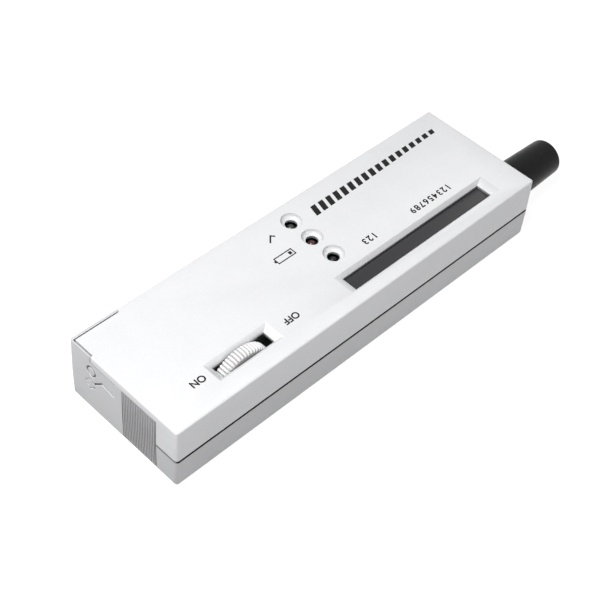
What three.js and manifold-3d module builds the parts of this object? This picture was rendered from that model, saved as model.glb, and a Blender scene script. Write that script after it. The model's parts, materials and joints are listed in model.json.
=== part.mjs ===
// A hand-held diamond tester: two housing shells, a sliding battery door, a ribbed thumbwheel on its
// potentiometer, a bar of lamps behind a dark window, three indicator lamps and a sprung probe under a cap.
// Millimetres. The origin is the centre of the underside, +X points to the probe and -Y is the wheel's side.
import * as THREE from 'three';
import { mergeVertices, toCreasedNormals } from 'three/addons/utils/BufferGeometryUtils.js';
import Module from 'manifold-3d';

const wasm = await Module();
wasm.setup();

// Housing
const sideWall = 2.2;
const topPlate = 2.4;
const floorPlate = 2.2;
const cornerRadius = 1;
const innerCornerRadius = 0.8;
const edgeRound = 0.6;
const topDraft = 0.25;
const bottomDraft = 0.1;

// Fits
const fitGap = 0.3;
const closeGap = 0.1;
const cutOverrun = 1;

// Joint between the shells
const seamAbove = 0.5;
const seamBelow = 0.3;
const tongueThickness = 0.9;
const tongueRise = 1.5;

// Battery door
const doorNearMargin = 8.7;
const doorThickness = 2.2;
const legLength = 16.3;
const legThickness = 1.3;
const doorSlit = 0.4;
const tabLength = 9;
const tabThickness = 0.7;
const tabSunk = 0.3;
const railReach = 2.2;
const railThickness = 0.8;
const railDepth = 1.1;
const railBackset = 2.6;
const gripWidth = 14.2;
const gripPitch = 0.7;
const gripGroove = 0.35;
const gripDepth = 0.5;
const legBackingThickness = 1.7;

// Nine-volt battery, its bay and its snap
const batteryLength = 46.4;
const batteryWidth = 26.5;
const batteryThickness = 17.5;
const batteryCornerRadius = 2;
const batteryGap = 0.5;
const batteryHeadroom = 0.6;
const terminalFromSide = 6.9;
const terminalHeight = 2.1;
const plusTerminalRadius = 2.9;
const minusTerminalRadius = 4;
const bayWall = 1.2;
const bayWallTopGap = 2;
const snapThickness = 3.2;
const snapSideInset = 0.75;
const snapHeight = 12;
const snapSetback = 0.4;
const leadRadius = 0.6;
const leadSpacing = 5;

// Thumbwheel, its slot and its potentiometer
const wheelFromBatteryEnd = 32.2;
const wheelWidth = 4;
const wheelProud = 0.8;
const wheelFloorGap = 0.6;
const wheelBayGap = 1.3;
const wheelRibs = 54;
const ribHeight = 0.45;
const wheelChamfer = 0.35;
const grooveShare = 0.3;
const ribStartShare = 0.45;
const ribEndShare = 0.85;
const slotShift = 0.75;
const slotLength = 19.6;
const slotSideGap = 0.3;
const slotBevelDepth = 1.5;
const slotBevelLong = 2.1;
const slotBevelAcross = 1.7;
const slotRollStart = Math.PI / 4;
const wheelRim = 3.1;
const wheelHubRadius = 3.6;
const wheelDishDepth = 0.6;
const wheelGap = 0.4;
const potInset = 4;
const potDepth = 4.4;
const potBackGap = 0.6;
const potLugs = 3;
const potLugPitch = 1.3;
const potLugWidth = 0.7;
const potLugThickness = 0.4;
const potLugReach = 3.4;
const shaftRadius = 2;
const shaftInPot = 2.4;
const shoulderRadius = 3;
const spigotRadius = 1.6;
const spigotFlat = 0.4;
const spigotLength = 1.8;
const saddleThickness = 1.2;
const saddleMargin = 2.4;
const crownSaddleWidth = 6;

// Bar window and its lamps
const windowFromNearSide = 8.63;
const windowEndMargin = 0.6;
const windowWidth = 5.6;
const windowDepth = 1.5;
const windowBevelLong = 2.9;
const windowBevelAcross = 1.05;
const lensFlange = 1.8;
const lensFlangeThickness = 1.2;
const lensSunk = 0.5;
const lensChamfer = 0.5;
const lensChamferDepth = 0.3;
const barLamps = 12;
const barLampPitch = 5;
const barLampLength = 4.2;
const barLampWidth = 3.2;
const barLampHeight = 2.6;
const barLampBase = 0.7;
const barLampStep = 0.3;

// Round indicator lamps and their dishes
const indicatorFromBoardStart = 15.75;
const indicatorPitch = 9;
const indicatorFromFarSide = 7.4;
const dishRadius = 3.42;
const dishHole = 2;
const dishDepth = 1.6;
const lampRadius = 1.5;
const lampFlangeRadius = 1.85;
const lampFlangeHeight = 0.9;
const lampSunk = 2;

// Circuit board and what it carries
const boardBeforeLamps = 11.8;
const boardAfterLamps = 1.1;
const boardThickness = 1.6;
const boardSideGap = 0.6;
const boardTipSetback = 14;
const boardBossGap = 0.6;
const boardPostRadius = 2.6;
const boardPostInset = 7;
const boardPostAcross = 8;
const driverLength = 22.9;
const amplifierLength = 9.8;
const chipWidth = 6.4;
const chipHeight = 3.3;
const chipStandOff = 0.6;
const chipPinPitch = 2.54;
const chipPinWidth = 0.5;
const chipPinThickness = 0.3;
const chipFromNearSide = 11;
const driverFromBoardEnd = 41;
const amplifierFromBoardEnd = 63;
const buzzerFromBoardEnd = 24;
const buzzerFromFarSide = 13;
const transistorFromBoardEnd = 44;
const transistorFromFarSide = 12;
const capacitorFromTransistor = 11;
const capacitorFromFarSide = 9;
const buzzerRadius = 6;
const buzzerHeight = 8.5;
const buzzerHole = 1.2;
const buzzerHoleDepth = 1;
const transistorRadius = 2.4;
const transistorHeight = 4.6;
const transistorFlat = 1.3;
const capacitorRadius = 2.6;
const capacitorHeight = 7;
const capacitorGroove = 0.3;

// Screws and bosses
const bossRadius = 3.2;
const bossEndInset = 8.6;
const bossNearInset = 5;
const bossFarInset = 5.5;
const screwRadius = 1.1;
const screwHeadRadius = 2;
const screwHeadHeight = 1.5;
const screwSeat = 3;
const screwLength = 13.5;
const headGap = 0.35;
const crossArm = 2.2;
const crossWidth = 0.6;
const crossDepth = 0.8;
const smallScrewRadius = 1;
const smallScrewHeadRadius = 1.9;
const smallScrewHeadHeight = 1.2;
const smallScrewRecess = 0.8;
const smallScrewLength = 4.8;
const wheelScrewLength = 3;

// Probe and cap
const probeFromNearSide = 12.3;
const noseRadius = 5.45;
const noseStraight = 5;
const noseReach = 11;
const noseTipRadius = 3.1;
const noseFlangeRadius = 6.4;
const noseFlangeThickness = 2.2;
const sleeveRadius = 2.3;
const sleeveWall = 0.9;
const sleeveReach = 15.2;
const sleeveCollarRadius = 3.4;
const sleeveCollarThickness = 1.2;
const sleeveTail = 7;
const sleeveRound = 0.5;
const holderRadius = 3.6;
const holderWall = 0.9;
const holderHeadroom = 0.8;
const holderLength = 17;
const holderEndWall = 1.2;
const holderSaddleInset = 3;
const tipRodRadius = 1;
const tipRodReach = 0.5;
const tipPointRadius = 0.5;
const tipPointReach = 1.4;
const tipCollarRadius = 2.2;
const tipCollarThickness = 1.2;
const tipTravel = 1.2;
const springRadius = 1.9;
const springWireRadius = 0.2;
const springCurls = 7;
const heaterRadius = 0.9;
const heaterLength = 3;
const probeLeadRadius = 0.4;
const probeLeadSpacing = 1.8;
const capBaseRadius = 6.95;
const capEndRadius = 6.2;
const capLength = 24.9;
const capWall = 1.1;
const capEndWall = 1.3;
const capEndRound = 1.3;
const capMouthRound = 0.3;

// Counts of flats on round faces
const roundSides = 32;
const smallRoundSides = 20;
const tinyRoundSides = 12;
const cornerSteps = 4;
const edgeSteps = 3;
const dishSides = 24;
const dishSteps = 4;
const leadSides = 6;
const leadSteps = 16;
const springStepsPerCurl = 8;
const springSides = 5;
const mergeShare = 1000;
const creaseAngle = Math.PI / 6;

// Lengths from the battery end, which add up to the length of the housing
const batteryStartLength = doorThickness + railReach + 2 * fitGap;
const bayLength = batteryStartLength + batteryLength + snapSetback + snapThickness + batteryGap + bayWall;
const boardStartLength = bayLength - bayWall / 2 + 2 * bossRadius + boardBossGap;
const lampRowLength = barLamps * barLampPitch;
const windowLength = lampRowLength + 2 * windowEndMargin;
const boardLength = boardBeforeLamps + lampRowLength + boardAfterLamps;
const housingLength = boardStartLength + boardLength + boardTipSetback;

// Widths from the near side, which add up to the width of the housing
const wheelFromNearSide = sideWall + potBackGap + potDepth + wheelGap + wheelWidth / 2;
const bayFromNearSide = wheelFromNearSide + wheelWidth / 2 + wheelBayGap + bayWall;
const bayFromFarSide = legThickness + doorSlit + legBackingThickness;
const housingWidth = bayFromNearSide + batteryWidth + 2 * batteryGap + bayFromFarSide;

// Heights, which follow from the battery, the board and the probe under it
const housingHeight = floorPlate + fitGap + batteryThickness + batteryHeadroom + topPlate;
const ceiling = housingHeight - topPlate;
const boardTop = ceiling - lensFlangeThickness - fitGap - barLampHeight;
const boardBottom = boardTop - boardThickness;
const partingHeight = boardBottom - holderRadius - holderHeadroom;
const wheelRadius = (housingHeight + wheelProud - floorPlate - wheelFloorGap) / 2;
const wheelDishRadius = wheelRadius - wheelRim;
const potRadius = wheelRadius - potInset;

// Planes and places that follow from the sizes
const batteryEnd = -housingLength / 2;
const tipEnd = housingLength / 2;
const nearSide = -housingWidth / 2;
const farSide = housingWidth / 2;
const doorNear = nearSide + doorNearMargin;
const doorInner = batteryEnd + doorThickness;
const legEnd = batteryEnd + legLength;
const legInner = farSide - legThickness;
const tabStart = farSide - tabLength;
const railStart = doorNear + railBackset;
const railInner = doorInner + railReach;
const legBackingInner = farSide - bayFromFarSide;
const batteryStart = batteryEnd + batteryStartLength;
const batteryFront = batteryStart + batteryLength;
const batteryFar = legBackingInner - batteryGap;
const batteryMiddle = batteryFar - batteryWidth / 2;
const terminalSpacing = batteryWidth - 2 * terminalFromSide;
const snapWidth = batteryWidth - 2 * snapSideInset;
const batteryBottom = floorPlate + fitGap;
const batteryAxis = batteryBottom + batteryThickness / 2;
const bayWallFar = nearSide + bayFromNearSide;
const bayWallNear = bayWallFar - bayWall;
const snapStart = batteryFront + snapSetback;
const snapEnd = snapStart + snapThickness;
const crossWallStart = snapEnd + batteryGap;
const crossWallEnd = crossWallStart + bayWall;
const wheelX = batteryEnd + wheelFromBatteryEnd;
const wheelY = nearSide + wheelFromNearSide;
const wheelZ = housingHeight + wheelProud - wheelRadius;
const wheelNear = wheelY - wheelWidth / 2;
const wheelFar = wheelY + wheelWidth / 2;
const slotX = wheelX + slotShift;
const potFar = wheelNear - wheelGap;
const potNear = potFar - potDepth;
const windowY = nearSide + windowFromNearSide;
const windowFloor = housingHeight - windowDepth;
const backBossX = crossWallEnd + bossRadius - bayWall / 2;
const boardStart = batteryEnd + boardStartLength;
const boardEnd = boardStart + boardLength;
const windowX = boardStart + boardBeforeLamps + lampRowLength / 2;
const boardHalfWidth = housingWidth / 2 - sideWall - boardSideGap;
const indicatorX = boardStart + indicatorFromBoardStart;
const probeY = nearSide + probeFromNearSide;
const probeZ = partingHeight;
const noseFlangeFront = tipEnd - sideWall;
const noseFlangeBack = noseFlangeFront - noseFlangeThickness;
const collarBack = noseFlangeBack - sleeveCollarThickness;
const holderBack = collarBack - holderLength;
const sleeveTailEnd = collarBack - sleeveTail;
const tipCollarFront = sleeveTailEnd - fitGap;
const tipCollarBack = tipCollarFront - tipCollarThickness;
const springBack = holderBack + holderEndWall + fitGap;
const springFront = tipCollarBack - fitGap;
const capStart = tipEnd + fitGap;

// Where the four case screws and the two board screws stand
const caseScrewPlaces = [
  [batteryEnd + bossEndInset, nearSide + bossNearInset + boardSideGap],
  [backBossX, farSide - bossFarInset],
  [tipEnd - bossEndInset, farSide - bossFarInset],
  [tipEnd - bossEndInset, nearSide + bossNearInset],
];
const boardScrewPlaces = [
  [boardStart + boardPostInset, farSide - bossFarInset - boardPostAcross],
  [boardEnd - boardPostInset, farSide - bossFarInset - boardPostAcross],
];

// Materials
const finishes = {
  silverPaint: { color: 0xe9eaee, roughness: 0.42, metalness: 0.25 },
  blackPlastic: { color: 0x26272a, roughness: 0.5, metalness: 0 },
  smokedLens: { color: 0x2b2a2f, roughness: 0.12, metalness: 0 },
  whitePlastic: { color: 0xf2f2f0, roughness: 0.45, metalness: 0 },
  greenBoard: { color: 0x1f6a3a, roughness: 0.5, metalness: 0 },
  redLamp: { color: 0xb3262a, roughness: 0.2, metalness: 0 },
  greenLamp: { color: 0x3f9a4a, roughness: 0.2, metalness: 0 },
  clearLamp: { color: 0xc9cbd0, roughness: 0.15, metalness: 0 },
  chipBlack: { color: 0x1c1c1e, roughness: 0.6, metalness: 0 },
  blueSleeve: { color: 0x2c3e66, roughness: 0.35, metalness: 0.1 },
  steel: { color: 0xb8babd, roughness: 0.3, metalness: 1 },
  copper: { color: 0xb8733f, roughness: 0.3, metalness: 1 },
  batteryJacket: { color: 0x3a3d42, roughness: 0.4, metalness: 0.3 },
  redWire: { color: 0xb01f24, roughness: 0.5, metalness: 0 },
  blackWire: { color: 0x1b1b1c, roughness: 0.5, metalness: 0 },
  ceramic: { color: 0xd8cfb8, roughness: 0.6, metalness: 0 },
};

// Solids from geometries and back
function solid(geometry) {
  const bare = new THREE.BufferGeometry();
  bare.setAttribute('position', geometry.getAttribute('position').clone());
  if (geometry.index) {
    bare.setIndex(geometry.index.clone());
  }
  const merged = mergeVertices(bare, closeGap / mergeShare);
  const positions = merged.getAttribute('position');
  const triangles = trianglesOf(merged.index.array);
  if (signedVolume(positions, triangles) < 0) {
    triangles.forEach((triangle) => triangle.reverse());
  }
  const vertProperties = new Float32Array(positions.array);
  const triVerts = new Uint32Array(triangles.flat());
  return new wasm.Manifold(new wasm.Mesh({ numProp: 3, vertProperties, triVerts }));
}

// The triangles that still have three corners after equal points are merged
function trianglesOf(indices) {
  const triangles = [];
  for (let start = 0; start < indices.length; start += 3) {
    const [a, b, c] = indices.slice(start, start + 3);
    if (a !== b && b !== c && c !== a) {
      triangles.push([a, b, c]);
    }
  }
  return triangles;
}

function signedVolume(positions, triangles) {
  const corners = [new THREE.Vector3(), new THREE.Vector3(), new THREE.Vector3()];
  return triangles.reduce((volume, triangle) => {
    triangle.forEach((index, corner) => corners[corner].fromBufferAttribute(positions, index));
    return volume + corners[0].dot(corners[1].clone().cross(corners[2])) / 6;
  }, 0);
}

function geometryOf(body) {
  const mesh = body.getMesh();
  const geometry = new THREE.BufferGeometry();
  geometry.setAttribute('position', new THREE.BufferAttribute(new Float32Array(mesh.vertProperties), 3));
  geometry.setIndex(new THREE.BufferAttribute(new Uint32Array(mesh.triVerts), 1));
  return toCreasedNormals(geometry, creaseAngle);
}

function joined(first, ...others) {
  return others.reduce((body, other) => body.add(other), first);
}

function cutBy(first, ...others) {
  return others.reduce((body, other) => body.subtract(other), first);
}

// Basic shapes, each as a solid
function block(xs, ys, zs) {
  const geometry = new THREE.BoxGeometry(xs[1] - xs[0], ys[1] - ys[0], zs[1] - zs[0]);
  geometry.translate((xs[0] + xs[1]) / 2, (ys[0] + ys[1]) / 2, (zs[0] + zs[1]) / 2);
  return solid(geometry);
}

function upright(radius, x, y, zs, sides = smallRoundSides, topRadius = radius) {
  const geometry = new THREE.CylinderGeometry(topRadius, radius, zs[1] - zs[0], sides);
  geometry.rotateX(Math.PI / 2);
  geometry.translate(x, y, (zs[0] + zs[1]) / 2);
  return solid(geometry);
}

function across(radius, x, z, ys, sides = roundSides) {
  const geometry = new THREE.CylinderGeometry(radius, radius, ys[1] - ys[0], sides);
  geometry.translate(x, (ys[0] + ys[1]) / 2, z);
  return solid(geometry);
}

// A profile of [distance along the axis, radius] points turned about its axis
function turned(profile, sides, start = 0) {
  const points = profile.map(([along, radius]) => new THREE.Vector2(radius, along));
  return new THREE.LatheGeometry(points, sides, start);
}

// The same about a line along X
function turnedAlongX(profile, y, z, sides = roundSides) {
  const geometry = turned(profile, sides);
  geometry.rotateZ(-Math.PI / 2);
  geometry.translate(0, y, z);
  return solid(geometry);
}

// The same about a line along Y, with its first facet's edge turned from straight up
function turnedAcross(profile, x, z, sides, start) {
  const geometry = turned(profile, sides, start);
  geometry.translate(x, 0, z);
  return solid(geometry);
}

// The same about an upright line
function turnedUpright(profile, x, y, sides = smallRoundSides) {
  const geometry = turned(profile, sides);
  geometry.rotateX(Math.PI / 2);
  geometry.translate(x, y, 0);
  return solid(geometry);
}

// A rounded rectangle as a ring of points at one height
function roundedRing(halfLength, halfWidth, radius, z, x = 0, y = 0) {
  const corners = [[1, 1], [-1, 1], [-1, -1], [1, -1]];
  const ring = [];
  corners.forEach(([signX, signY], corner) => {
    for (let step = 0; step <= cornerSteps; step += 1) {
      const angle = (corner + step / cornerSteps) * Math.PI / 2;
      const pointX = x + signX * (halfLength - radius) + radius * Math.cos(angle);
      const pointY = y + signY * (halfWidth - radius) + radius * Math.sin(angle);
      ring.push(new THREE.Vector3(pointX, pointY, z));
    }
  });
  return ring;
}

// A closed solid through rings that all have the same number of points
function loft(rings) {
  const count = rings[0].length;
  const positions = rings.flat().flatMap((point) => point.toArray());
  const indices = [];
  for (let level = 0; level < rings.length - 1; level += 1) {
    for (let step = 0; step < count; step += 1) {
      const next = (step + 1) % count;
      const low = level * count;
      const high = low + count;
      indices.push(low + step, low + next, high + next);
      indices.push(low + step, high + next, high + step);
    }
  }
  const flat = rings[0].map((point) => new THREE.Vector2(point.x, point.y));
  const last = (rings.length - 1) * count;
  THREE.ShapeUtils.triangulateShape(flat, []).forEach(([a, b, c]) => {
    indices.push(a, c, b);
    indices.push(last + a, last + b, last + c);
  });
  const geometry = new THREE.BufferGeometry();
  geometry.setAttribute('position', new THREE.Float32BufferAttribute(positions, 3));
  geometry.setIndex(indices);
  return solid(geometry);
}

// A straight-sided box opening that widens towards its top
function flaredOpening(x, y, length, width, bevelLong, bevelAcross, floor) {
  const rise = housingHeight - floor;
  const overLong = bevelLong * cutOverrun / rise;
  const overAcross = bevelAcross * cutOverrun / rise;
  const flare = loft([
    rectangleRing(x, y, length, width, floor),
    rectangleRing(x, y, length + 2 * (bevelLong + overLong), width + 2 * (bevelAcross + overAcross),
      housingHeight + cutOverrun),
  ]);
  const hole = block(
    [x - length / 2, x + length / 2],
    [y - width / 2, y + width / 2],
    [ceiling - cutOverrun, floor + cutOverrun / 2],
  );
  return joined(flare, hole);
}

// The opening over the thumbwheel: plain bevels at its ends, and long sides that roll over into the top
function slotOpening() {
  const width = wheelWidth + 2 * slotSideGap;
  const floor = housingHeight - slotBevelDepth;
  const rings = [];
  for (let step = 0; step <= edgeSteps; step += 1) {
    const angle = slotRollStart + (Math.PI / 2 - slotRollStart) * step / edgeSteps;
    const rise = (Math.sin(angle) - Math.sin(slotRollStart)) / (1 - Math.sin(slotRollStart));
    const roll = 1 - Math.cos(angle) / Math.cos(slotRollStart);
    rings.push(rectangleRing(slotX, wheelY, slotLength + 2 * slotBevelLong * rise,
      width + 2 * slotBevelAcross * roll, floor + slotBevelDepth * rise));
  }
  rings.push(rectangleRing(slotX, wheelY, slotLength + 2 * slotBevelLong, width + 2 * slotBevelAcross,
    housingHeight + cutOverrun));
  const hole = block(
    [slotX - slotLength / 2, slotX + slotLength / 2],
    [wheelY - width / 2, wheelY + width / 2],
    [ceiling - cutOverrun, floor + slotBevelDepth / 2],
  );
  return joined(loft(rings), hole);
}

function rectangleRing(x, y, length, width, z) {
  return [[1, 1], [-1, 1], [-1, -1], [1, -1]].map(
    ([signX, signY]) => new THREE.Vector3(x + signX * length / 2, y + signY * width / 2, z),
  );
}

// The outline of the whole housing with its draft and rounded edges
function draftAt(z) {
  if (z > partingHeight) {
    return topDraft * (z - partingHeight) / (housingHeight - partingHeight);
  }
  return bottomDraft * (partingHeight - z) / partingHeight;
}

function housingRing(inset, z, least) {
  const radius = Math.max(cornerRadius - inset, least);
  return roundedRing(housingLength / 2 - inset, housingWidth / 2 - inset, radius, z);
}

function housingBlock() {
  const rings = [];
  const least = cornerRadius / 4;
  for (let step = 0; step <= edgeSteps; step += 1) {
    const angle = step / edgeSteps * Math.PI / 2;
    const z = edgeRound - edgeRound * Math.cos(angle);
    rings.push(housingRing(draftAt(edgeRound) + edgeRound - edgeRound * Math.sin(angle), z, least));
  }
  rings.push(housingRing(0, partingHeight, least));
  for (let step = 0; step <= edgeSteps; step += 1) {
    const angle = step / edgeSteps * Math.PI / 2;
    const z = housingHeight - edgeRound + edgeRound * Math.sin(angle);
    const draft = draftAt(housingHeight - edgeRound);
    rings.push(housingRing(draft + edgeRound - edgeRound * Math.cos(angle), z, least));
  }
  return loft(rings);
}

function innerBlock(inset, bottom, top) {
  return loft([
    housingRing(inset + draftAt(bottom), bottom, innerCornerRadius),
    housingRing(inset + draftAt(top), top, innerCornerRadius),
  ]);
}

// The space that the battery door and its rails take out of both shells
function doorOpening() {
  const outside = batteryEnd - cutOverrun;
  const farOutside = farSide + cutOverrun;
  const plate = block([outside, doorInner + fitGap], [doorNear - fitGap, farOutside], [-cutOverrun, ceiling]);
  const leg = block(
    [outside, legEnd + doorSlit],
    [legInner - doorSlit, farOutside],
    [-cutOverrun, housingHeight + cutOverrun],
  );
  const tab = block(
    [outside, batteryEnd + tabThickness + doorSlit],
    [tabStart - fitGap, farOutside],
    [ceiling - cutOverrun, housingHeight + cutOverrun],
  );
  const grooveXs = [railInner - railThickness - fitGap, railInner + fitGap];
  const groove = block(grooveXs, [railStart - fitGap, farOutside],
    [floorPlate - railDepth - fitGap, ceiling + railDepth + fitGap]);
  const exit = block([outside, railInner + fitGap], [legBackingInner - cutOverrun, farOutside],
    [floorPlate, ceiling]);
  return joined(plate, leg, tab, groove, exit);
}

// The wall that backs the door's side leg, in one shell
function legBacking(zs) {
  return block(
    [doorInner + fitGap, legEnd + doorSlit + sideWall],
    [legBackingInner, legInner - doorSlit + fitGap],
    zs,
  );
}

// The rebate in the upper shell that takes the lower shell's tongue
function tongueSpace() {
  const outer = sideWall - tongueThickness - fitGap;
  const levels = [partingHeight - cutOverrun, partingHeight + tongueRise + fitGap];
  const inner = innerBlock(sideWall + fitGap, levels[0] - cutOverrun, levels[1] + cutOverrun);
  return innerBlock(outer, ...levels).subtract(inner);
}

// The seam round the outside, where the upper shell's lip stops above the parting plane
function seamSpace() {
  const levels = [partingHeight - cutOverrun, partingHeight + seamAbove];
  const slab = block(
    [batteryEnd - cutOverrun, tipEnd + cutOverrun],
    [nearSide - cutOverrun, farSide + cutOverrun],
    levels,
  );
  const [bottom, top] = levels;
  return slab.subtract(innerBlock(sideWall - tongueThickness, bottom - cutOverrun, top + cutOverrun));
}

// Space that the probe and the thumbwheel take out of both shells
function probeSpace() {
  const flange = [noseFlangeBack - fitGap, noseFlangeFront];
  return turnedAlongX([
    [holderBack - fitGap, 0],
    [holderBack - fitGap, holderRadius + closeGap],
    [flange[0], holderRadius + closeGap],
    [flange[0], noseFlangeRadius + fitGap],
    [flange[1], noseFlangeRadius + fitGap],
    [flange[1], noseRadius + fitGap],
    [tipEnd + cutOverrun, noseRadius + fitGap],
    [tipEnd + cutOverrun, 0],
  ], probeY, probeZ);
}

function wheelSpace() {
  return across(wheelRadius + wheelGap, wheelX, wheelZ, [wheelNear - slotSideGap, wheelFar + slotSideGap]);
}

function potSpace() {
  return across(potRadius + closeGap, wheelX, wheelZ, [potNear - fitGap, potFar + fitGap]);
}

function screwHole(x, y, zs, radius) {
  return upright(radius, x, y, zs, tinyRoundSides);
}

function indicatorPlaces() {
  return [0, 1, 2].map((step) => [indicatorX, farSide - indicatorFromFarSide - step * indicatorPitch]);
}

// A round dish that is steep at its rim and flat where the lamp's hole goes through it
function lampDish(x, y) {
  const profile = [[housingHeight - dishDepth, 0]];
  for (let step = 0; step <= dishSteps; step += 1) {
    const angle = step / dishSteps * Math.PI / 2;
    profile.push([
      housingHeight - dishDepth * Math.cos(angle),
      dishHole + (dishRadius - dishHole) * Math.sin(angle),
    ]);
  }
  profile.push([housingHeight + cutOverrun, dishRadius], [housingHeight + cutOverrun, 0]);
  return turnedUpright(profile, x, y, dishSides);
}

// Upper shell: walls, rebate for the tongue, bevelled window and slot, lamp dishes, bosses and posts
function upperHousing() {
  const aboveParting = block(
    [batteryEnd - cutOverrun, tipEnd + cutOverrun],
    [nearSide - cutOverrun, farSide + cutOverrun],
    [partingHeight, housingHeight + cutOverrun],
  );
  let shell = housingBlock().intersect(aboveParting);
  shell = shell.subtract(innerBlock(sideWall, partingHeight - cutOverrun, ceiling));
  shell = shell.add(legBacking([partingHeight, ceiling + closeGap]));
  caseScrewPlaces.forEach(([x, y]) => {
    shell = shell.add(upright(bossRadius, x, y, [partingHeight, ceiling + closeGap]));
  });
  boardScrewPlaces.forEach(([x, y]) => {
    shell = shell.add(upright(boardPostRadius, x, y, [boardTop, ceiling + closeGap]));
  });
  const crownSaddle = block(
    [wheelX - crownSaddleWidth / 2, wheelX + crownSaddleWidth / 2],
    [(potNear + potFar - saddleThickness) / 2, (potNear + potFar + saddleThickness) / 2],
    [wheelZ + potRadius / 2, ceiling + closeGap],
  );
  const holderSaddle = block(
    [noseFlangeBack - holderSaddleInset - saddleThickness, noseFlangeBack - holderSaddleInset],
    [probeY - holderRadius, probeY + holderRadius],
    [probeZ + holderRadius / 2, ceiling + closeGap],
  );
  shell = joined(shell, crownSaddle, holderSaddle);
  shell = cutBy(shell, tongueSpace(), seamSpace(), potSpace(), probeSpace(), wheelSpace(), doorOpening());
  caseScrewPlaces.forEach(([x, y]) => {
    const depth = screwSeat + screwLength + fitGap;
    shell = shell.subtract(screwHole(x, y, [partingHeight - cutOverrun, depth], screwRadius + closeGap));
  });
  boardScrewPlaces.forEach(([x, y]) => {
    const depth = boardBottom + smallScrewLength + fitGap;
    shell = shell.subtract(screwHole(x, y, [boardTop - cutOverrun, depth], smallScrewRadius + closeGap));
  });
  const bar = flaredOpening(windowX, windowY, windowLength, windowWidth, windowBevelLong, windowBevelAcross,
    windowFloor);
  shell = cutBy(shell, slotOpening(), bar);
  indicatorPlaces().forEach(([x, y]) => {
    const hole = upright(dishHole, x, y, [ceiling - cutOverrun, housingHeight - dishDepth / 2], dishSides);
    shell = cutBy(shell, lampDish(x, y), hole);
  });
  return shell;
}

// Lower shell: walls with their tongue, battery bay walls, saddles and screw bosses
function lowerHousing() {
  const rim = partingHeight - seamBelow;
  const belowRim = block(
    [batteryEnd - cutOverrun, tipEnd + cutOverrun],
    [nearSide - cutOverrun, farSide + cutOverrun],
    [-cutOverrun, rim],
  );
  let shell = housingBlock().intersect(belowRim);
  const tongueTop = partingHeight + tongueRise;
  const besideLeg = block(
    [batteryEnd, legEnd + doorSlit + sideWall + fitGap],
    [legBackingInner - fitGap, farSide],
    [rim, tongueTop + cutOverrun],
  );
  const tongue = innerBlock(sideWall - tongueThickness, rim - floorPlate, tongueTop).subtract(besideLeg);
  shell = shell.add(tongue);
  shell = shell.subtract(innerBlock(sideWall, floorPlate, partingHeight + tongueRise + cutOverrun));
  shell = shell.add(legBacking([floorPlate - closeGap, rim]));
  const bayTop = ceiling - bayWallTopGap;
  const longWall = block(
    [railInner + fitGap, crossWallEnd],
    [bayWallNear, bayWallFar],
    [floorPlate - closeGap, bayTop],
  );
  const crossWall = block(
    [crossWallStart, crossWallEnd],
    [bayWallNear, farSide - sideWall + closeGap],
    [floorPlate - closeGap, partingHeight],
  );
  const potSaddle = block(
    [wheelX - potRadius - saddleMargin, wheelX + potRadius + saddleMargin],
    [(potNear + potFar - saddleThickness) / 2, (potNear + potFar + saddleThickness) / 2],
    [floorPlate - closeGap, wheelZ],
  );
  shell = joined(shell, longWall, crossWall, potSaddle);
  const backSaddleX = holderBack + holderSaddleInset;
  const frontSaddleX = noseFlangeBack - holderSaddleInset - saddleThickness;
  [backSaddleX, frontSaddleX].forEach((x) => {
    const saddle = block(
      [x, x + saddleThickness],
      [probeY - holderRadius - saddleMargin, probeY + holderRadius + saddleMargin],
      [floorPlate - closeGap, probeZ],
    );
    shell = shell.add(saddle);
  });
  caseScrewPlaces.forEach(([x, y]) => {
    shell = shell.add(upright(bossRadius, x, y, [floorPlate - closeGap, partingHeight]));
  });
  shell = cutBy(shell, potSpace(), probeSpace(), wheelSpace(), doorOpening());
  caseScrewPlaces.forEach(([x, y]) => {
    shell = shell.subtract(screwHole(x, y, [-cutOverrun, partingHeight + cutOverrun], screwRadius + fitGap));
    shell = shell.subtract(upright(screwHeadRadius + headGap, x, y, [-cutOverrun, screwSeat]));
  });
  return shell;
}

// Battery door: end plate with its corner tab, side leg, rails that run in both shells and the grip ribs
function batteryDoor() {
  const outside = batteryEnd - cutOverrun;
  const farOutside = farSide + cutOverrun;
  const plate = block([outside, doorInner], [doorNear, farOutside], [-cutOverrun, ceiling - fitGap]);
  const leg = block([outside, legEnd], [legInner, farOutside], [-cutOverrun, housingHeight + cutOverrun]);
  const tab = block(
    [outside, batteryEnd + tabThickness],
    [tabStart, farOutside],
    [ceiling - cutOverrun, housingHeight - tabSunk],
  );
  const stemXs = [doorInner - closeGap, railInner];
  const footXs = [railInner - railThickness, railInner];
  const railYs = [railStart, legBackingInner - fitGap];
  const lowTop = floorPlate + fitGap + railThickness;
  const highBottom = ceiling - fitGap - railThickness;
  const rails = joined(
    block(stemXs, railYs, [floorPlate + fitGap, lowTop]),
    block(footXs, railYs, [floorPlate - railDepth, lowTop]),
    block(stemXs, railYs, [highBottom, ceiling - fitGap]),
    block(footXs, railYs, [highBottom, ceiling + railDepth]),
  );
  let door = housingBlock().intersect(joined(plate, leg, tab)).add(rails);
  const ribs = Math.floor(gripWidth / gripPitch);
  for (let rib = 0; rib < ribs; rib += 1) {
    const middle = doorNear + (rib + 0.5) * gripPitch;
    const groove = block(
      [outside, batteryEnd + gripDepth],
      [middle - gripGroove / 2, middle + gripGroove / 2],
      [-cutOverrun, ceiling],
    );
    door = door.subtract(groove);
  }
  return door;
}

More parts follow.
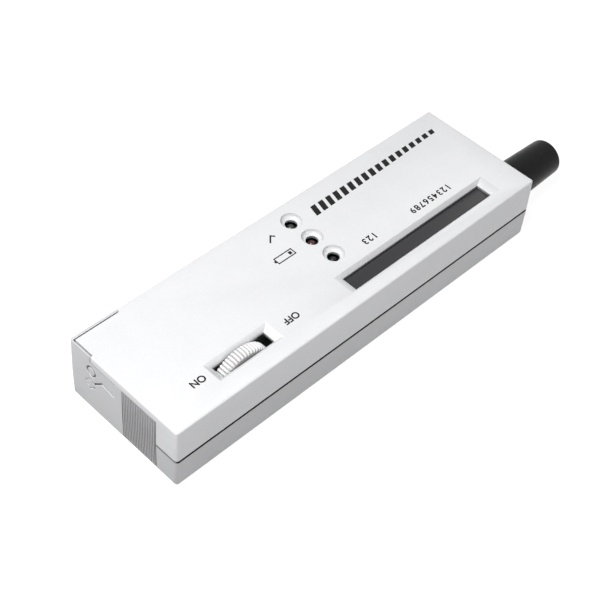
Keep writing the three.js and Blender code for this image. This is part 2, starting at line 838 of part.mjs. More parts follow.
// Thumbwheel: ribs with bevelled ends all round, a dish on each face, a hub with a D-shaped bore and a seat
// for its screw
function ribbedOutline() {
  const outline = new THREE.Shape();
  const root = wheelRadius - ribHeight;
  const corners = [[0, root], [grooveShare, root], [ribStartShare, wheelRadius], [ribEndShare, wheelRadius]];
  for (let rib = 0; rib < wheelRibs; rib += 1) {
    corners.forEach(([share, radius], corner) => {
      const angle = (rib + share) / wheelRibs * 2 * Math.PI;
      const move = rib + corner === 0 ? 'moveTo' : 'lineTo';
      outline[move](radius * Math.cos(angle), radius * Math.sin(angle));
    });
  }
  return outline;
}

// A circle with one flat, as a solid along Y
function flattedPin(radius, flat, ys) {
  const halfAngle = Math.acos(flat / radius);
  const outline = new THREE.Shape();
  outline.absarc(0, 0, radius, halfAngle, 2 * Math.PI - halfAngle, false);
  outline.closePath();
  const geometry = new THREE.ExtrudeGeometry(outline, {
    depth: ys[1] - ys[0], bevelEnabled: false, curveSegments: tinyRoundSides,
  });
  geometry.rotateX(Math.PI / 2);
  geometry.translate(wheelX, ys[1], wheelZ);
  return solid(geometry);
}

function wheelScrewSeat() {
  return wheelFar - smallScrewHeadHeight - closeGap;
}

function thumbwheel() {
  const geometry = new THREE.ExtrudeGeometry(ribbedOutline(), { depth: wheelWidth, bevelEnabled: false });
  geometry.rotateX(Math.PI / 2);
  geometry.translate(wheelX, wheelFar, wheelZ);
  const shoulder = wheelRadius - wheelChamfer;
  const grooveMiddle = grooveShare / 2 / wheelRibs * 2 * Math.PI;
  const rounding = turnedAcross([
    [wheelNear - cutOverrun, 0],
    [wheelNear - cutOverrun, shoulder - cutOverrun],
    [wheelNear + wheelChamfer + closeGap, wheelRadius + closeGap],
    [wheelFar - wheelChamfer - closeGap, wheelRadius + closeGap],
    [wheelFar + cutOverrun, shoulder - cutOverrun],
    [wheelFar + cutOverrun, 0],
  ], wheelX, wheelZ, wheelRibs, Math.PI / 2 - grooveMiddle);
  const wheel = solid(geometry).intersect(rounding);
  const dishes = [
    [wheelNear - cutOverrun, wheelNear + wheelDishDepth],
    [wheelFar - wheelDishDepth, wheelFar + cutOverrun],
  ].map((ys) => across(wheelDishRadius, wheelX, wheelZ, ys)
    .subtract(across(wheelHubRadius, wheelX, wheelZ, [ys[0] - cutOverrun, ys[1] + cutOverrun],
      smallRoundSides)));
  const bore = flattedPin(spigotRadius + closeGap, spigotRadius - spigotFlat + closeGap,
    [wheelNear - cutOverrun, wheelNear + spigotLength + closeGap]);
  const screwBore = across(smallScrewRadius + closeGap, wheelX, wheelZ, [wheelNear, wheelFar],
    tinyRoundSides);
  const headBore = across(smallScrewHeadRadius + fitGap, wheelX, wheelZ,
    [wheelScrewSeat(), wheelFar + cutOverrun], smallRoundSides);
  return cutBy(wheel, ...dishes, bore, screwBore, headBore);
}

function potentiometerShaft() {
  const post = across(shaftRadius, wheelX, wheelZ, [potFar - shaftInPot, wheelNear - closeGap],
    smallRoundSides);
  const shoulder = across(shoulderRadius, wheelX, wheelZ, [potFar + closeGap, wheelNear], smallRoundSides);
  const spigot = flattedPin(spigotRadius, spigotRadius - spigotFlat,
    [wheelNear - closeGap, wheelNear + spigotLength]);
  const bore = across(smallScrewRadius + closeGap, wheelX, wheelZ,
    [wheelScrewSeat() - wheelScrewLength - fitGap, wheelFar], tinyRoundSides);
  return joined(post, shoulder, spigot).subtract(bore);
}

function potentiometerBody() {
  let body = across(potRadius, wheelX, wheelZ, [potNear, potFar]);
  body = body.subtract(across(shaftRadius + closeGap, wheelX, wheelZ,
    [potFar - shaftInPot - fitGap, potFar + cutOverrun], smallRoundSides));
  const middle = (potNear + potFar) / 2;
  for (let lug = 0; lug < potLugs; lug += 1) {
    const y = middle + (lug - (potLugs - 1) / 2) * potLugPitch;
    body = body.add(block(
      [wheelX + potRadius / 2, wheelX + potRadius + potLugReach],
      [y - potLugWidth / 2, y + potLugWidth / 2],
      [boardTop, boardTop + potLugThickness],
    ));
  }
  return body;
}

// Screws: a pan head with a cross recess and a plain shank with a pointed end, standing on the origin
function screw(headRadius, headHeight, shankRadius, shankLength, recess) {
  const body = turnedUpright([
    [-headHeight, 0],
    [-headHeight, headRadius - headHeight / 3],
    [-headHeight * 0.6, headRadius],
    [0, headRadius],
    [0, shankRadius],
    [shankLength - shankRadius, shankRadius],
    [shankLength, shankRadius / 4],
    [shankLength, 0],
  ], 0, 0, tinyRoundSides);
  const arm = recess * crossArm / 2;
  const half = crossWidth / 2;
  const depths = [-headHeight - cutOverrun, -headHeight + recess * crossDepth];
  return cutBy(body, block([-arm, arm], [-half, half], depths), block([-half, half], [-arm, arm], depths));
}

function smallScrew(length) {
  return screw(smallScrewHeadRadius, smallScrewHeadHeight, smallScrewRadius, length, smallScrewRecess);
}

// Circuit board with the arm that reaches the potentiometer
function circuitBoard() {
  const levels = [boardBottom, boardTop];
  let board = block([boardStart, boardEnd], [-boardHalfWidth, boardHalfWidth], levels);
  board = board.add(block(
    [wheelX + potRadius + boardSideGap, boardStart + cutOverrun],
    [-boardHalfWidth, wheelNear - slotSideGap - fitGap],
    levels,
  ));
  const holeLevels = [boardBottom - cutOverrun, boardTop + cutOverrun];
  caseScrewPlaces.forEach(([x, y]) => {
    board = board.subtract(upright(bossRadius + boardBossGap / 2, x, y, holeLevels));
  });
  boardScrewPlaces.forEach(([x, y]) => {
    board = board.subtract(screwHole(x, y, holeLevels, smallScrewRadius + fitGap));
  });
  return cutBy(board, wheelSpace(), potSpace());
}

function barLamp() {
  const body = block([-barLampLength / 2, barLampLength / 2], [-barLampWidth / 2, barLampWidth / 2],
    [0, barLampBase]);
  const lens = block(
    [-barLampLength / 2 + barLampStep, barLampLength / 2 - barLampStep],
    [-barLampWidth / 2 + barLampStep, barLampWidth / 2 - barLampStep],
    [0, barLampHeight],
  );
  return body.add(lens);
}

function indicatorLamp() {
  const top = housingHeight - lampSunk - boardTop;
  const shoulder = top - lampRadius;
  const profile = [
    [0, 0],
    [0, lampFlangeRadius],
    [lampFlangeHeight, lampFlangeRadius],
    [lampFlangeHeight, lampRadius],
  ];
  for (let step = 0; step <= cornerSteps; step += 1) {
    const angle = step / cornerSteps * Math.PI / 2;
    const reach = step < cornerSteps ? lampRadius * Math.cos(angle) : 0;
    profile.push([shoulder + lampRadius * Math.sin(angle), reach]);
  }
  return turnedUpright(profile, 0, 0);
}

// A flat-bottomed chip that hangs under the board on two rows of pins, centred on the origin
function pinnedChip(length) {
  const pins = Math.floor(length / chipPinPitch);
  let chip = block([-length / 2, length / 2], [-chipWidth / 2, chipWidth / 2],
    [-chipStandOff - chipHeight, -chipStandOff]);
  for (let pin = 0; pin < pins; pin += 1) {
    const x = (pin - (pins - 1) / 2) * chipPinPitch;
    [-1, 1].forEach((side) => {
      const inner = side * (chipWidth / 2 - closeGap);
      const outer = side * (chipWidth / 2 + chipPinThickness);
      chip = chip.add(block(
        [x - chipPinWidth / 2, x + chipPinWidth / 2],
        [Math.min(inner, outer), Math.max(inner, outer)],
        [-chipStandOff - chipHeight / 2, 0],
      ));
    });
  }
  return chip;
}

function buzzer() {
  const body = upright(buzzerRadius, 0, 0, [-buzzerHeight, 0]);
  const mouth = upright(buzzerHole, 0, 0, [-buzzerHeight - cutOverrun, -buzzerHeight + buzzerHoleDepth],
    tinyRoundSides);
  return body.subtract(mouth);
}

function heaterTransistor() {
  const body = upright(transistorRadius, 0, 0, [-transistorHeight, 0]);
  const flat = block(
    [-transistorRadius - cutOverrun, transistorRadius + cutOverrun],
    [transistorFlat, transistorRadius + cutOverrun],
    [-transistorHeight - cutOverrun, cutOverrun],
  );
  return body.subtract(flat);
}

function capacitor() {
  const groove = -capacitorRadius;
  return turnedUpright([
    [-capacitorHeight, 0],
    [-capacitorHeight, capacitorRadius - capacitorGroove],
    [-capacitorHeight + capacitorGroove, capacitorRadius],
    [groove - capacitorGroove, capacitorRadius],
    [groove, capacitorRadius - capacitorGroove],
    [groove + capacitorGroove, capacitorRadius],
    [0, capacitorRadius],
    [0, 0],
  ], 0, 0);
}

// Window lens: a plug with bevelled edges, deep in its opening, and a flange glued under the top plate
function windowLens() {
  const plugLength = windowLength - 2 * closeGap;
  const plugWidth = windowWidth - 2 * closeGap;
  const top = windowFloor - lensSunk;
  const plug = loft([
    rectangleRing(windowX, windowY, plugLength, plugWidth, ceiling - lensFlangeThickness),
    rectangleRing(windowX, windowY, plugLength, plugWidth, top - lensChamferDepth),
    rectangleRing(windowX, windowY, plugLength - 2 * lensChamfer, plugWidth - 2 * lensChamfer, top),
  ]);
  const flange = block(
    [windowX - windowLength / 2 - lensFlange, windowX + windowLength / 2 + lensFlange],
    [windowY - windowWidth / 2 - lensFlange, windowY + windowWidth / 2 + lensFlange],
    [ceiling - lensFlangeThickness, ceiling],
  );
  return plug.add(flange);
}

// Battery, its two terminals and the snap over them
function roundedSlab(xs, width, height, radius, y, z) {
  const outline = new THREE.Shape();
  const halfWidth = width / 2;
  const halfHeight = height / 2;
  outline.absarc(halfHeight - radius, halfWidth - radius, radius, 0, Math.PI / 2, false);
  outline.absarc(radius - halfHeight, halfWidth - radius, radius, Math.PI / 2, Math.PI, false);
  outline.absarc(radius - halfHeight, radius - halfWidth, radius, Math.PI, Math.PI * 1.5, false);
  outline.absarc(halfHeight - radius, radius - halfWidth, radius, Math.PI * 1.5, Math.PI * 2, false);
  const geometry = new THREE.ExtrudeGeometry(outline, {
    depth: xs[1] - xs[0], bevelEnabled: false, curveSegments: cornerSteps,
  });
  geometry.rotateY(Math.PI / 2);
  geometry.translate(xs[0], y, z);
  return solid(geometry);
}

function terminalPlaces() {
  return {
    plus: batteryMiddle + terminalSpacing / 2,
    minus: batteryMiddle - terminalSpacing / 2,
  };
}

function plusTerminal() {
  return turnedAlongX([
    [batteryFront, 0],
    [batteryFront, plusTerminalRadius],
    [batteryFront + terminalHeight / 3, plusTerminalRadius * 0.85],
    [batteryFront + terminalHeight, plusTerminalRadius],
    [batteryFront + terminalHeight, 0],
  ], terminalPlaces().plus, batteryAxis, smallRoundSides);
}

function minusTerminal() {
  const crown = turnedAlongX([
    [batteryFront, 0],
    [batteryFront, minusTerminalRadius],
    [batteryFront + terminalHeight, minusTerminalRadius * 0.92],
    [batteryFront + terminalHeight, minusTerminalRadius * 0.7],
    [batteryFront + terminalHeight / 3, minusTerminalRadius * 0.7],
    [batteryFront + terminalHeight / 3, 0],
  ], terminalPlaces().minus, batteryAxis, 6);
  return crown;
}

function batterySnap() {
  const body = roundedSlab([snapStart, snapEnd], snapWidth, snapHeight, batteryCornerRadius, batteryMiddle,
    batteryAxis);
  const socketEnd = batteryFront + terminalHeight + fitGap;
  const sockets = [
    [terminalPlaces().plus, plusTerminalRadius],
    [terminalPlaces().minus, minusTerminalRadius],
  ].map(([y, radius]) => turnedAlongX([
    [snapStart - cutOverrun, 0],
    [snapStart - cutOverrun, radius + fitGap],
    [socketEnd, radius + fitGap],
    [socketEnd, 0],
  ], y, batteryAxis, smallRoundSides));
  return cutBy(body, ...sockets);
}

// A round lead along hand-chosen points
function lead(points, radius) {
  const path = new THREE.CatmullRomCurve3(points.map((point) => new THREE.Vector3(...point)));
  const circle = new THREE.Shape();
  for (let side = 0; side < leadSides; side += 1) {
    const angle = side / leadSides * 2 * Math.PI;
    const move = side === 0 ? 'moveTo' : 'lineTo';
    circle[move](radius * Math.cos(angle), radius * Math.sin(angle));
  }
  const settings = { steps: leadSteps, extrudePath: path, bevelEnabled: false };
  return solid(new THREE.ExtrudeGeometry(circle, settings));
}

function batteryLead(side) {
  const y = batteryMiddle + side * leadSpacing / 2;
  const start = batteryAxis + leadRadius * 3;
  const crest = boardTop + leadRadius * 3;
  return lead([
    [snapEnd, y, start],
    [snapEnd + leadRadius * 3, y, start],
    [boardStart - leadRadius * 4, y, boardTop],
    [boardStart + leadRadius, y, crest],
    [boardStart + leadRadius * 4, y, crest],
    [boardStart + leadRadius * 5.5, y, boardTop + leadRadius * 2],
    [boardStart + leadRadius * 5.5, y, boardTop + fitGap],
  ], leadRadius);
}

function probeLead(side) {
  const y = probeY + side * probeLeadSpacing / 2;
  return lead([
    [holderBack, y, probeZ],
    [holderBack - probeLeadRadius * 3, y, probeZ],
    [holderBack - probeLeadRadius * 7, y, (probeZ + boardBottom) / 2],
    [holderBack - probeLeadRadius * 8, y, boardBottom - fitGap],
  ], probeLeadRadius);
}

// Probe: moulded nose, metal sleeve, the holder behind it, and the sprung copper tip with its heater
function probeNose() {
  const bore = sleeveRadius + fitGap;
  return turnedAlongX([
    [noseFlangeBack, bore],
    [noseFlangeBack, noseFlangeRadius],
    [noseFlangeFront, noseFlangeRadius],
    [noseFlangeFront, noseRadius],
    [tipEnd + noseStraight, noseRadius],
    [tipEnd + noseReach, noseTipRadius],
    [tipEnd + noseReach, bore],
    [noseFlangeBack, bore],
  ], probeY, probeZ);
}

function probeSleeve() {
  const bore = sleeveRadius - sleeveWall;
  const front = tipEnd + sleeveReach;
  return turnedAlongX([
    [sleeveTailEnd, bore],
    [sleeveTailEnd, sleeveRadius],
    [collarBack, sleeveRadius],
    [collarBack, sleeveCollarRadius],
    [noseFlangeBack, sleeveCollarRadius],
    [noseFlangeBack, sleeveRadius],
    [front - sleeveRound, sleeveRadius],
    [front, sleeveRadius - sleeveRound],
    [front, bore],
    [sleeveTailEnd, bore],
  ], probeY, probeZ, smallRoundSides);
}

function probeHolder() {
  const bore = holderRadius - holderWall;
  return turnedAlongX([
    [holderBack, 0],
    [holderBack, holderRadius],
    [collarBack, holderRadius],
    [collarBack, bore],
    [holderBack + holderEndWall, bore],
    [holderBack + holderEndWall, 0],
  ], probeY, probeZ, smallRoundSides);
}

function probeTip() {
  const rodEnd = tipEnd + sleeveReach + tipRodReach;
  return turnedAlongX([
    [tipCollarBack, 0],
    [tipCollarBack, tipCollarRadius],
    [tipCollarFront, tipCollarRadius],
    [tipCollarFront, tipRodRadius],
    [rodEnd, tipRodRadius],
    [rodEnd + tipRodRadius - tipPointRadius, tipPointRadius],
    [rodEnd + tipPointReach, tipPointRadius],
    [rodEnd + tipPointReach, 0],
  ], probeY, probeZ, tinyRoundSides);
}

function heaterBead() {
  return turnedAlongX([
    [tipCollarBack - heaterLength, 0],
    [tipCollarBack - heaterLength, heaterRadius],
    [tipCollarBack, heaterRadius],
    [tipCollarBack, 0],
  ], probeY, probeZ, tinyRoundSides);
}

// The coil spring behind the tip, one unbroken tube of rings along a helix
function springLine() {
  const steps = springCurls * springStepsPerCurl;
  const line = [];
  for (let step = 0; step <= steps; step += 1) {
    const turn = step / springStepsPerCurl * 2 * Math.PI;
    const along = springBack + springWireRadius
      + (springFront - springBack - 2 * springWireRadius) * step / steps;
    line.push(new THREE.Vector3(
      along,
      probeY + springRadius * Math.cos(turn),
      probeZ + springRadius * Math.sin(turn),
    ));
  }
  return line;
}

function leastSpringGap(line) {
  let least = Infinity;
  for (let first = 0; first < line.length; first += 1) {
    for (let second = first + springStepsPerCurl / 2; second < line.length; second += 1) {
      least = Math.min(least, line[first].distanceTo(line[second]) - 2 * springWireRadius);
    }
  }
  return least;
}

function probeSpring() {
  const line = springLine();
  const positions = [];
  const indices = [];
  line.forEach((point, step) => {
    const turn = step / springStepsPerCurl * 2 * Math.PI;
    const outward = new THREE.Vector3(0, Math.cos(turn), Math.sin(turn));
    const along = new THREE.Vector3(1, 0, 0);
    for (let side = 0; side < springSides; side += 1) {
      const angle = side / springSides * 2 * Math.PI;
      const offset = outward.clone().multiplyScalar(Math.cos(angle)).addScaledVector(along, Math.sin(angle));
      positions.push(...point.clone().addScaledVector(offset, springWireRadius).toArray());
    }
  });
  for (let step = 0; step < line.length - 1; step += 1) {
    for (let side = 0; side < springSides; side += 1) {
      const next = (side + 1) % springSides;
      const here = step * springSides;
      const there = here + springSides;
      indices.push(here + side, here + next, there + next);
      indices.push(here + side, there + next, there + side);
    }
  }
  const last = (line.length - 1) * springSides;
  for (let side = 1; side < springSides - 1; side += 1) {
    indices.push(0, side + 1, side);
    indices.push(last, last + side, last + side + 1);
  }
  const geometry = new THREE.BufferGeometry();
  geometry.setAttribute('position', new THREE.Float32BufferAttribute(positions, 3));
  geometry.setIndex(indices);
  return solid(geometry);
}

// Pull-off cap: slightly tapered cup with a rounded end
function protectiveCap() {
  const end = capStart + capLength;
  const innerEnd = end - capEndWall;
  const profile = [
    [innerEnd, 0],
    [innerEnd, capEndRadius - capWall],
    [capStart + capMouthRound, capBaseRadius - capWall],
    [capStart, capBaseRadius - capWall + capMouthRound],
    [capStart, capBaseRadius - capMouthRound],
    [capStart + capMouthRound, capBaseRadius],
  ];
  for (let step = 0; step <= cornerSteps; step += 1) {
    const angle = step / cornerSteps * Math.PI / 2;
    profile.push([
      end - capEndRound + capEndRound * Math.sin(angle),
      capEndRadius - capEndRound + capEndRound * Math.cos(angle),
    ]);
  }
  profile.push([end, 0]);
  return turnedAlongX(profile, probeY, probeZ);
}

// The scene: one group for each piece that moves, and the housing with all that is fixed in it
const tester = new THREE.Group();
const housing = new THREE.Group();
const wheelUnit = new THREE.Group();
const doorUnit = new THREE.Group();
const capUnit = new THREE.Group();
const tipUnit = new THREE.Group();
tester.add(housing, wheelUnit, doorUnit, capUnit, tipUnit);

function piece(group, name, body, finish, place = [0, 0, 0]) {
  const mesh = new THREE.Mesh(geometryOf(body), new THREE.MeshStandardMaterial(finishes[finish]));
  mesh.name = name;
  mesh.position.set(...place);
  group.add(mesh);
  return mesh;
}

piece(housing, 'upper_housing', upperHousing(), 'silverPaint');
piece(housing, 'lower_housing', lowerHousing(), 'silverPaint');
piece(doorUnit, 'battery_door', batteryDoor(), 'silverPaint');
piece(housing, 'display_window', windowLens(), 'smokedLens');
piece(wheelUnit, 'thumbwheel', thumbwheel(), 'whitePlastic');
piece(wheelUnit, 'potentiometer_shaft', potentiometerShaft(), 'steel');
piece(housing, 'potentiometer_body', potentiometerBody(), 'blackPlastic');
piece(housing, 'circuit_board', circuitBoard(), 'greenBoard');

const wheelScrew = piece(
  wheelUnit, 'thumbwheel_screw',
  smallScrew(wheelScrewLength), 'steel',
  [wheelX, wheelScrewSeat(), wheelZ],
);
wheelScrew.rotation.x = Math.PI / 2;

caseScrewPlaces.forEach(([x, y], index) => {
  piece(housing, `case_screw_${index + 1}`,
    screw(screwHeadRadius, screwHeadHeight, screwRadius, screwLength, 1), 'steel', [x, y, screwSeat]);
});
boardScrewPlaces.forEach(([x, y], index) => {
  piece(housing, `board_screw_${index + 1}`,
    smallScrew(smallScrewLength), 'steel',
    [x, y, boardBottom]);
});

for (let lamp = 0; lamp < barLamps; lamp += 1) {
  const x = windowX + (lamp - (barLamps - 1) / 2) * barLampPitch;
  const number = String(lamp + 1).padStart(2, '0');
  piece(housing, `bar_lamp_${number}`, barLamp(), lamp < barLamps / 2 ? 'redLamp' : 'greenLamp',
    [x, windowY, boardTop]);
}
const indicatorNames = ['ready_lamp', 'battery_lamp', 'alert_lamp'];
const indicatorFinishes = ['greenLamp', 'redLamp', 'clearLamp'];
indicatorPlaces().forEach(([x, y], index) => {
  piece(housing, indicatorNames[index], indicatorLamp(), indicatorFinishes[index], [x, y, boardTop]);
});

const chipY = nearSide + chipFromNearSide;
piece(housing, 'bar_driver_chip', pinnedChip(driverLength), 'chipBlack',
  [boardEnd - driverFromBoardEnd, chipY, boardBottom]);
piece(housing, 'amplifier_chip', pinnedChip(amplifierLength), 'chipBlack',
  [boardEnd - amplifierFromBoardEnd, chipY, boardBottom]);
piece(housing, 'buzzer', buzzer(), 'chipBlack',
  [boardEnd - buzzerFromBoardEnd, farSide - buzzerFromFarSide, boardBottom]);
piece(housing, 'heater_transistor', heaterTransistor(), 'chipBlack',
  [boardEnd - transistorFromBoardEnd, farSide - transistorFromFarSide, boardBottom]);
piece(housing, 'smoothing_capacitor', capacitor(), 'blueSleeve',
  [boardEnd - transistorFromBoardEnd - capacitorFromTransistor, farSide - capacitorFromFarSide, boardBottom]);

piece(housing, 'battery', roundedSlab([batteryStart, batteryFront], batteryWidth, batteryThickness,
  batteryCornerRadius, batteryMiddle, batteryAxis), 'batteryJacket');
piece(housing, 'battery_plus_terminal', plusTerminal(), 'steel');
piece(housing, 'battery_minus_terminal', minusTerminal(), 'steel');
piece(housing, 'battery_snap', batterySnap(), 'blackPlastic');
piece(housing, 'red_lead', batteryLead(1), 'redWire');
piece(housing, 'black_lead', batteryLead(-1), 'blackWire');

piece(housing, 'probe_nose', probeNose(), 'blackPlastic');
piece(housing, 'probe_sleeve', probeSleeve(), 'steel');
piece(housing, 'probe_holder', probeHolder(), 'blackPlastic');
piece(housing, 'probe_spring', probeSpring(), 'steel');
piece(housing, 'probe_lead_1', probeLead(1), 'redWire');
piece(housing, 'probe_lead_2', probeLead(-1), 'blackWire');
piece(tipUnit, 'probe_tip', probeTip(), 'copper');
piece(tipUnit, 'heater_bead', heaterBead(), 'ceramic');
piece(capUnit, 'protective_cap', protectiveCap(), 'blackPlastic');

const springGap = leastSpringGap(springLine());
console.log(`least gap between the spring's curls: ${springGap.toFixed(2)} mm`);

export default tester;
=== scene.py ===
"""The looks of a hand-held tester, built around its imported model. Metres, +X to the probe, +Z up."""
import json
import math

import bmesh
import bpy
from mathutils import Matrix, Vector


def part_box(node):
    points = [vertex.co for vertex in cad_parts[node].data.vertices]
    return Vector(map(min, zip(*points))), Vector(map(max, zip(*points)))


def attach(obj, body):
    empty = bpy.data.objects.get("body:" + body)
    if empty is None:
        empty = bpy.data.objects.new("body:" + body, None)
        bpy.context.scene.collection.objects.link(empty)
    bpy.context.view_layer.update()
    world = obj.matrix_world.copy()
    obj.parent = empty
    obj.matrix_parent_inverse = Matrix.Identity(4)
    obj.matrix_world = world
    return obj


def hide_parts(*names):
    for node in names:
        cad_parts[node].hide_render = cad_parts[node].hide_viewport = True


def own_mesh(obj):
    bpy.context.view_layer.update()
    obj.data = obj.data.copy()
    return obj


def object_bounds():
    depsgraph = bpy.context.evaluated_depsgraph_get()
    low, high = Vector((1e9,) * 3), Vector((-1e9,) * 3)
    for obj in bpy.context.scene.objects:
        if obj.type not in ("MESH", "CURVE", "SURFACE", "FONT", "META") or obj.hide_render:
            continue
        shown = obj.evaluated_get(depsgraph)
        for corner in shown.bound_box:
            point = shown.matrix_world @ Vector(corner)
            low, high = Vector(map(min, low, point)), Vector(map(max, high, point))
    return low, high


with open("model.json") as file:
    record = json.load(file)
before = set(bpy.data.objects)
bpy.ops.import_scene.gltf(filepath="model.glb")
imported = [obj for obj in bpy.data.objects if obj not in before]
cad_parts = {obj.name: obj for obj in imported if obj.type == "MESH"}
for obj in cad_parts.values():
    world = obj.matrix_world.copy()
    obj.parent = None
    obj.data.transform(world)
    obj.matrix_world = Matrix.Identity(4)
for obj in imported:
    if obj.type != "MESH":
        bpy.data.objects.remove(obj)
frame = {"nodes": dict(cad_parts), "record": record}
cad_low, cad_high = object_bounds()

MM = 0.001

# Camera, where the photograph was taken from
camera_place = Vector((-215.7, -184.62, 311.67)) * MM
camera_forward = Vector((0.50742, 0.44662, -0.73693))
camera_up = Vector((0.48878, 0.55513, 0.673))
camera_lens = 82.15
camera_sensor = 36.0
camera_near = 0.01
camera_far = 20.0

# Light and floor
world_fill = 0.15
world_seen = 1.0
floor_half = 3.0
floor_gap = 0.02 * MM
floor_colour = (0.25, 0.25, 0.253, 1.0)
floor_glow = 0.93
key_place = Vector((-0.3, 0.03, 0.6))
key_size = 0.3
key_power = 4.3
side_place = Vector((0.05, -0.8, 0.2))
side_size = 0.4
side_power = 1.35

# Axes that pieces are turned about
along_axis, across_axis, up_axis = range(3)

# Edges of the pieces
weld_distance = 0.002 * MM
flat_angle = math.radians(0.4)
edge_angle = math.radians(32)
shell_edge = 0.12 * MM
small_edge = 0.06 * MM
edge_segments = 3

# Where the paint ends inside and gives way to painted shade, and where painted shade lies in the recesses and
# painted shadow at the seam
paint_reach = 0.6 * MM
paint_fade = 0.1 * MM
# Painted shade starts this far below the top face, on the walls of its openings
top_paint_reach = 1.65 * MM
floor_paint_reach = 2.0 * MM
recess_from = 0.08 * MM
recess_margin = 1.0 * MM
seam_low = 10.2 * MM
seam_high = 11.0 * MM
seam_shade = 0.1 * MM
seam_fade = 0.04 * MM

# Colours of the paint and of the wheel, most of them painted shade or painted light
paint_colour = (0.86, 0.865, 0.88)
# Painted shade on the bevels and in the dishes of the top face
recess_shade_colour = (0.74, 0.745, 0.76)
# Painted shade inside the housing, seen through its slot, window, lamp holes and gaps
inside_shade_colour = (0.35, 0.35, 0.36, 1.0)
# Painted shadow in the seam between the shells: lighter at the battery end, where light falls into it, and
# dark on the sides
seam_end_shadow_colour = (0.3, 0.3, 0.305, 1.0)
seam_side_shadow_colour = (0.06, 0.06, 0.063, 1.0)
# Painted shade on the ribs of the grip, and painted light in its grooves against their own shade
grip_shade_colour = (0.5, 0.5, 0.51, 1.0)
grip_groove_light_colour = (0.8, 0.8, 0.81, 1.0)
# Painted shade at the bottom of the engraving
engraving_shade_colour = (0.12, 0.12, 0.122, 1.0)
# Painted shade in the grooves and on the side faces of the wheel
wheel_groove_shade_colour = (0.45, 0.45, 0.45, 1.0)
wheel_side_shade_colour = (0.42, 0.42, 0.42, 1.0)
# Darker shaded copies of the paint, for the lower shell and the door
lower_shade_tone = 0.77
door_shade_tone = 0.82

# Noise in every finish
noise_start = 0.3
noise_end = 0.7
slow_detail = 2.0
fine_detail = 3.0
gloss_scale_share = 3

# Grip of the battery door
grip_near = -13.8 * MM
grip_far = 0.2 * MM
grip_reach = 0.9 * MM
grip_groove_from = 0.3 * MM

# Thumbwheel
wheel_ribs = 54
points_per_rib = 12
rib_height = 0.55 * MM
rib_sharpness = 0.65
groove_share = 0.5
wheel_edge_along = 1.1 * MM
wheel_edge_in = 1.4 * MM
wheel_edge_steps = 8
wheel_fade = 0.2 * MM
wheel_dish_radius = 7.4 * MM
wheel_dish_depth = 0.6 * MM
wheel_hub_radius = 3.6 * MM
wheel_head_bore = 2.2 * MM
wheel_head_seat = 1.3 * MM
wheel_screw_bore = 1.1 * MM
wheel_spigot_bore = 1.7 * MM
wheel_spigot_depth = 1.9 * MM

# Cap, nose, sleeve and tip of the probe
round_sides = 96
cap_end_radius = 6.2 * MM
cap_wall = 1.1 * MM
cap_end_wall = 1.3 * MM
cap_end_round = 1.3 * MM
cap_mouth_round = 0.3 * MM
round_steps = 8
nose_radius = 5.45 * MM
nose_straight_end = 80.0 * MM
nose_tip_radius = 3.1 * MM
nose_bore = 2.6 * MM
nose_flange_front = 72.8 * MM
sleeve_radius = 2.3 * MM
sleeve_bore = 1.4 * MM
sleeve_collar_back = 69.4 * MM
sleeve_collar_front = 70.6 * MM
sleeve_round = 0.5 * MM
tip_rod_radius = 1.0 * MM
tip_point_radius = 0.5 * MM
tip_collar_end = 62.1 * MM
tip_rod_end = 90.7 * MM

# Spring behind the tip
spring_radius = 1.9 * MM
spring_wire = 0.2 * MM
spring_curls = 7
steps_per_curl = 24
spring_sides = 10

# Indicator lamps
lamp_radius = 1.5 * MM
lamp_flange_height = 0.9 * MM
lamp_sides = round_sides // 2
lamp_dome_steps = 2 * round_steps

# Print on the top face
ink_lift = 0.002 * MM
ink_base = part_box("upper_housing")[1].z + ink_lift
ink_thickness = 0.03 * MM
letter_height = 2.4 * MM
letter_boldness = 0.025
letter_outline_depth = 0.5
on_place = (-58.6 * MM, -12.6 * MM)
off_place = (-23.6 * MM, -13.0 * MM)
short_scale_place = (16.4 * MM, -5.8 * MM)
short_scale_count = 3
long_scale_place = (43.4 * MM, -6.25 * MM)
long_scale_count = 9
scale_pitch = 2.05 * MM
check_place = (-6.0 * MM, 13.6 * MM)
check_turns = [(1.6 * MM, -0.1 * MM), (0.6 * MM, 1.0 * MM), (-1.5 * MM, -1.2 * MM)]
check_line = 0.5 * MM
battery_mark_place = (-8.0 * MM, 5.7 * MM)
battery_mark_half = (3.4 * MM, 1.15 * MM)
battery_mark_line = 0.36 * MM
battery_nub_reach = 2 * battery_mark_line
battery_nub_line = 0.9 * MM
battery_level_start = 2 * battery_mark_line
battery_level_end = 5 * battery_mark_line
battery_level_line = 1.2 * MM
bars_start = 68.5 * MM
bars_end = 11.2 * MM
bars_base = 15.6 * MM
bars_height = 4.1 * MM
bars_count = 18
bars_lean = 1.1 * MM
bars_width_share = 0.62
bars_least_share = 0.45

# Engraving on the battery door
engraving_depth = 0.55 * MM
engraving_lift = 0.2 * MM
engraving_bottom = 0.15 * MM
engraving_mouth = 1.2 * MM
engraved_from = (3.0 * MM, 6.8 * MM)
engraved_to = (16.5 * MM, 20.5 * MM)
engraved_paint_from = 0.24 * MM
contact_ring_radius = 1.7 * MM
whole_ring_place = (13.2 * MM, 16.9 * MM)
broken_ring_place = (13.8 * MM, 11.2 * MM)
ring_arcs = 6
arc_share = 0.62
arc_steps = 8
lead_points = [(12.0 * MM, 12.4 * MM), (8.6 * MM, 15.6 * MM), (3.4 * MM, 14.6 * MM)]


# Node helpers
def new_material(name):
    material = bpy.data.materials.new(name)
    material.use_nodes = True
    tree = material.node_tree
    return material, tree, tree.nodes["Principled BSDF"]


def object_coordinates(tree):
    return tree.nodes.new("ShaderNodeTexCoord").outputs["Object"]


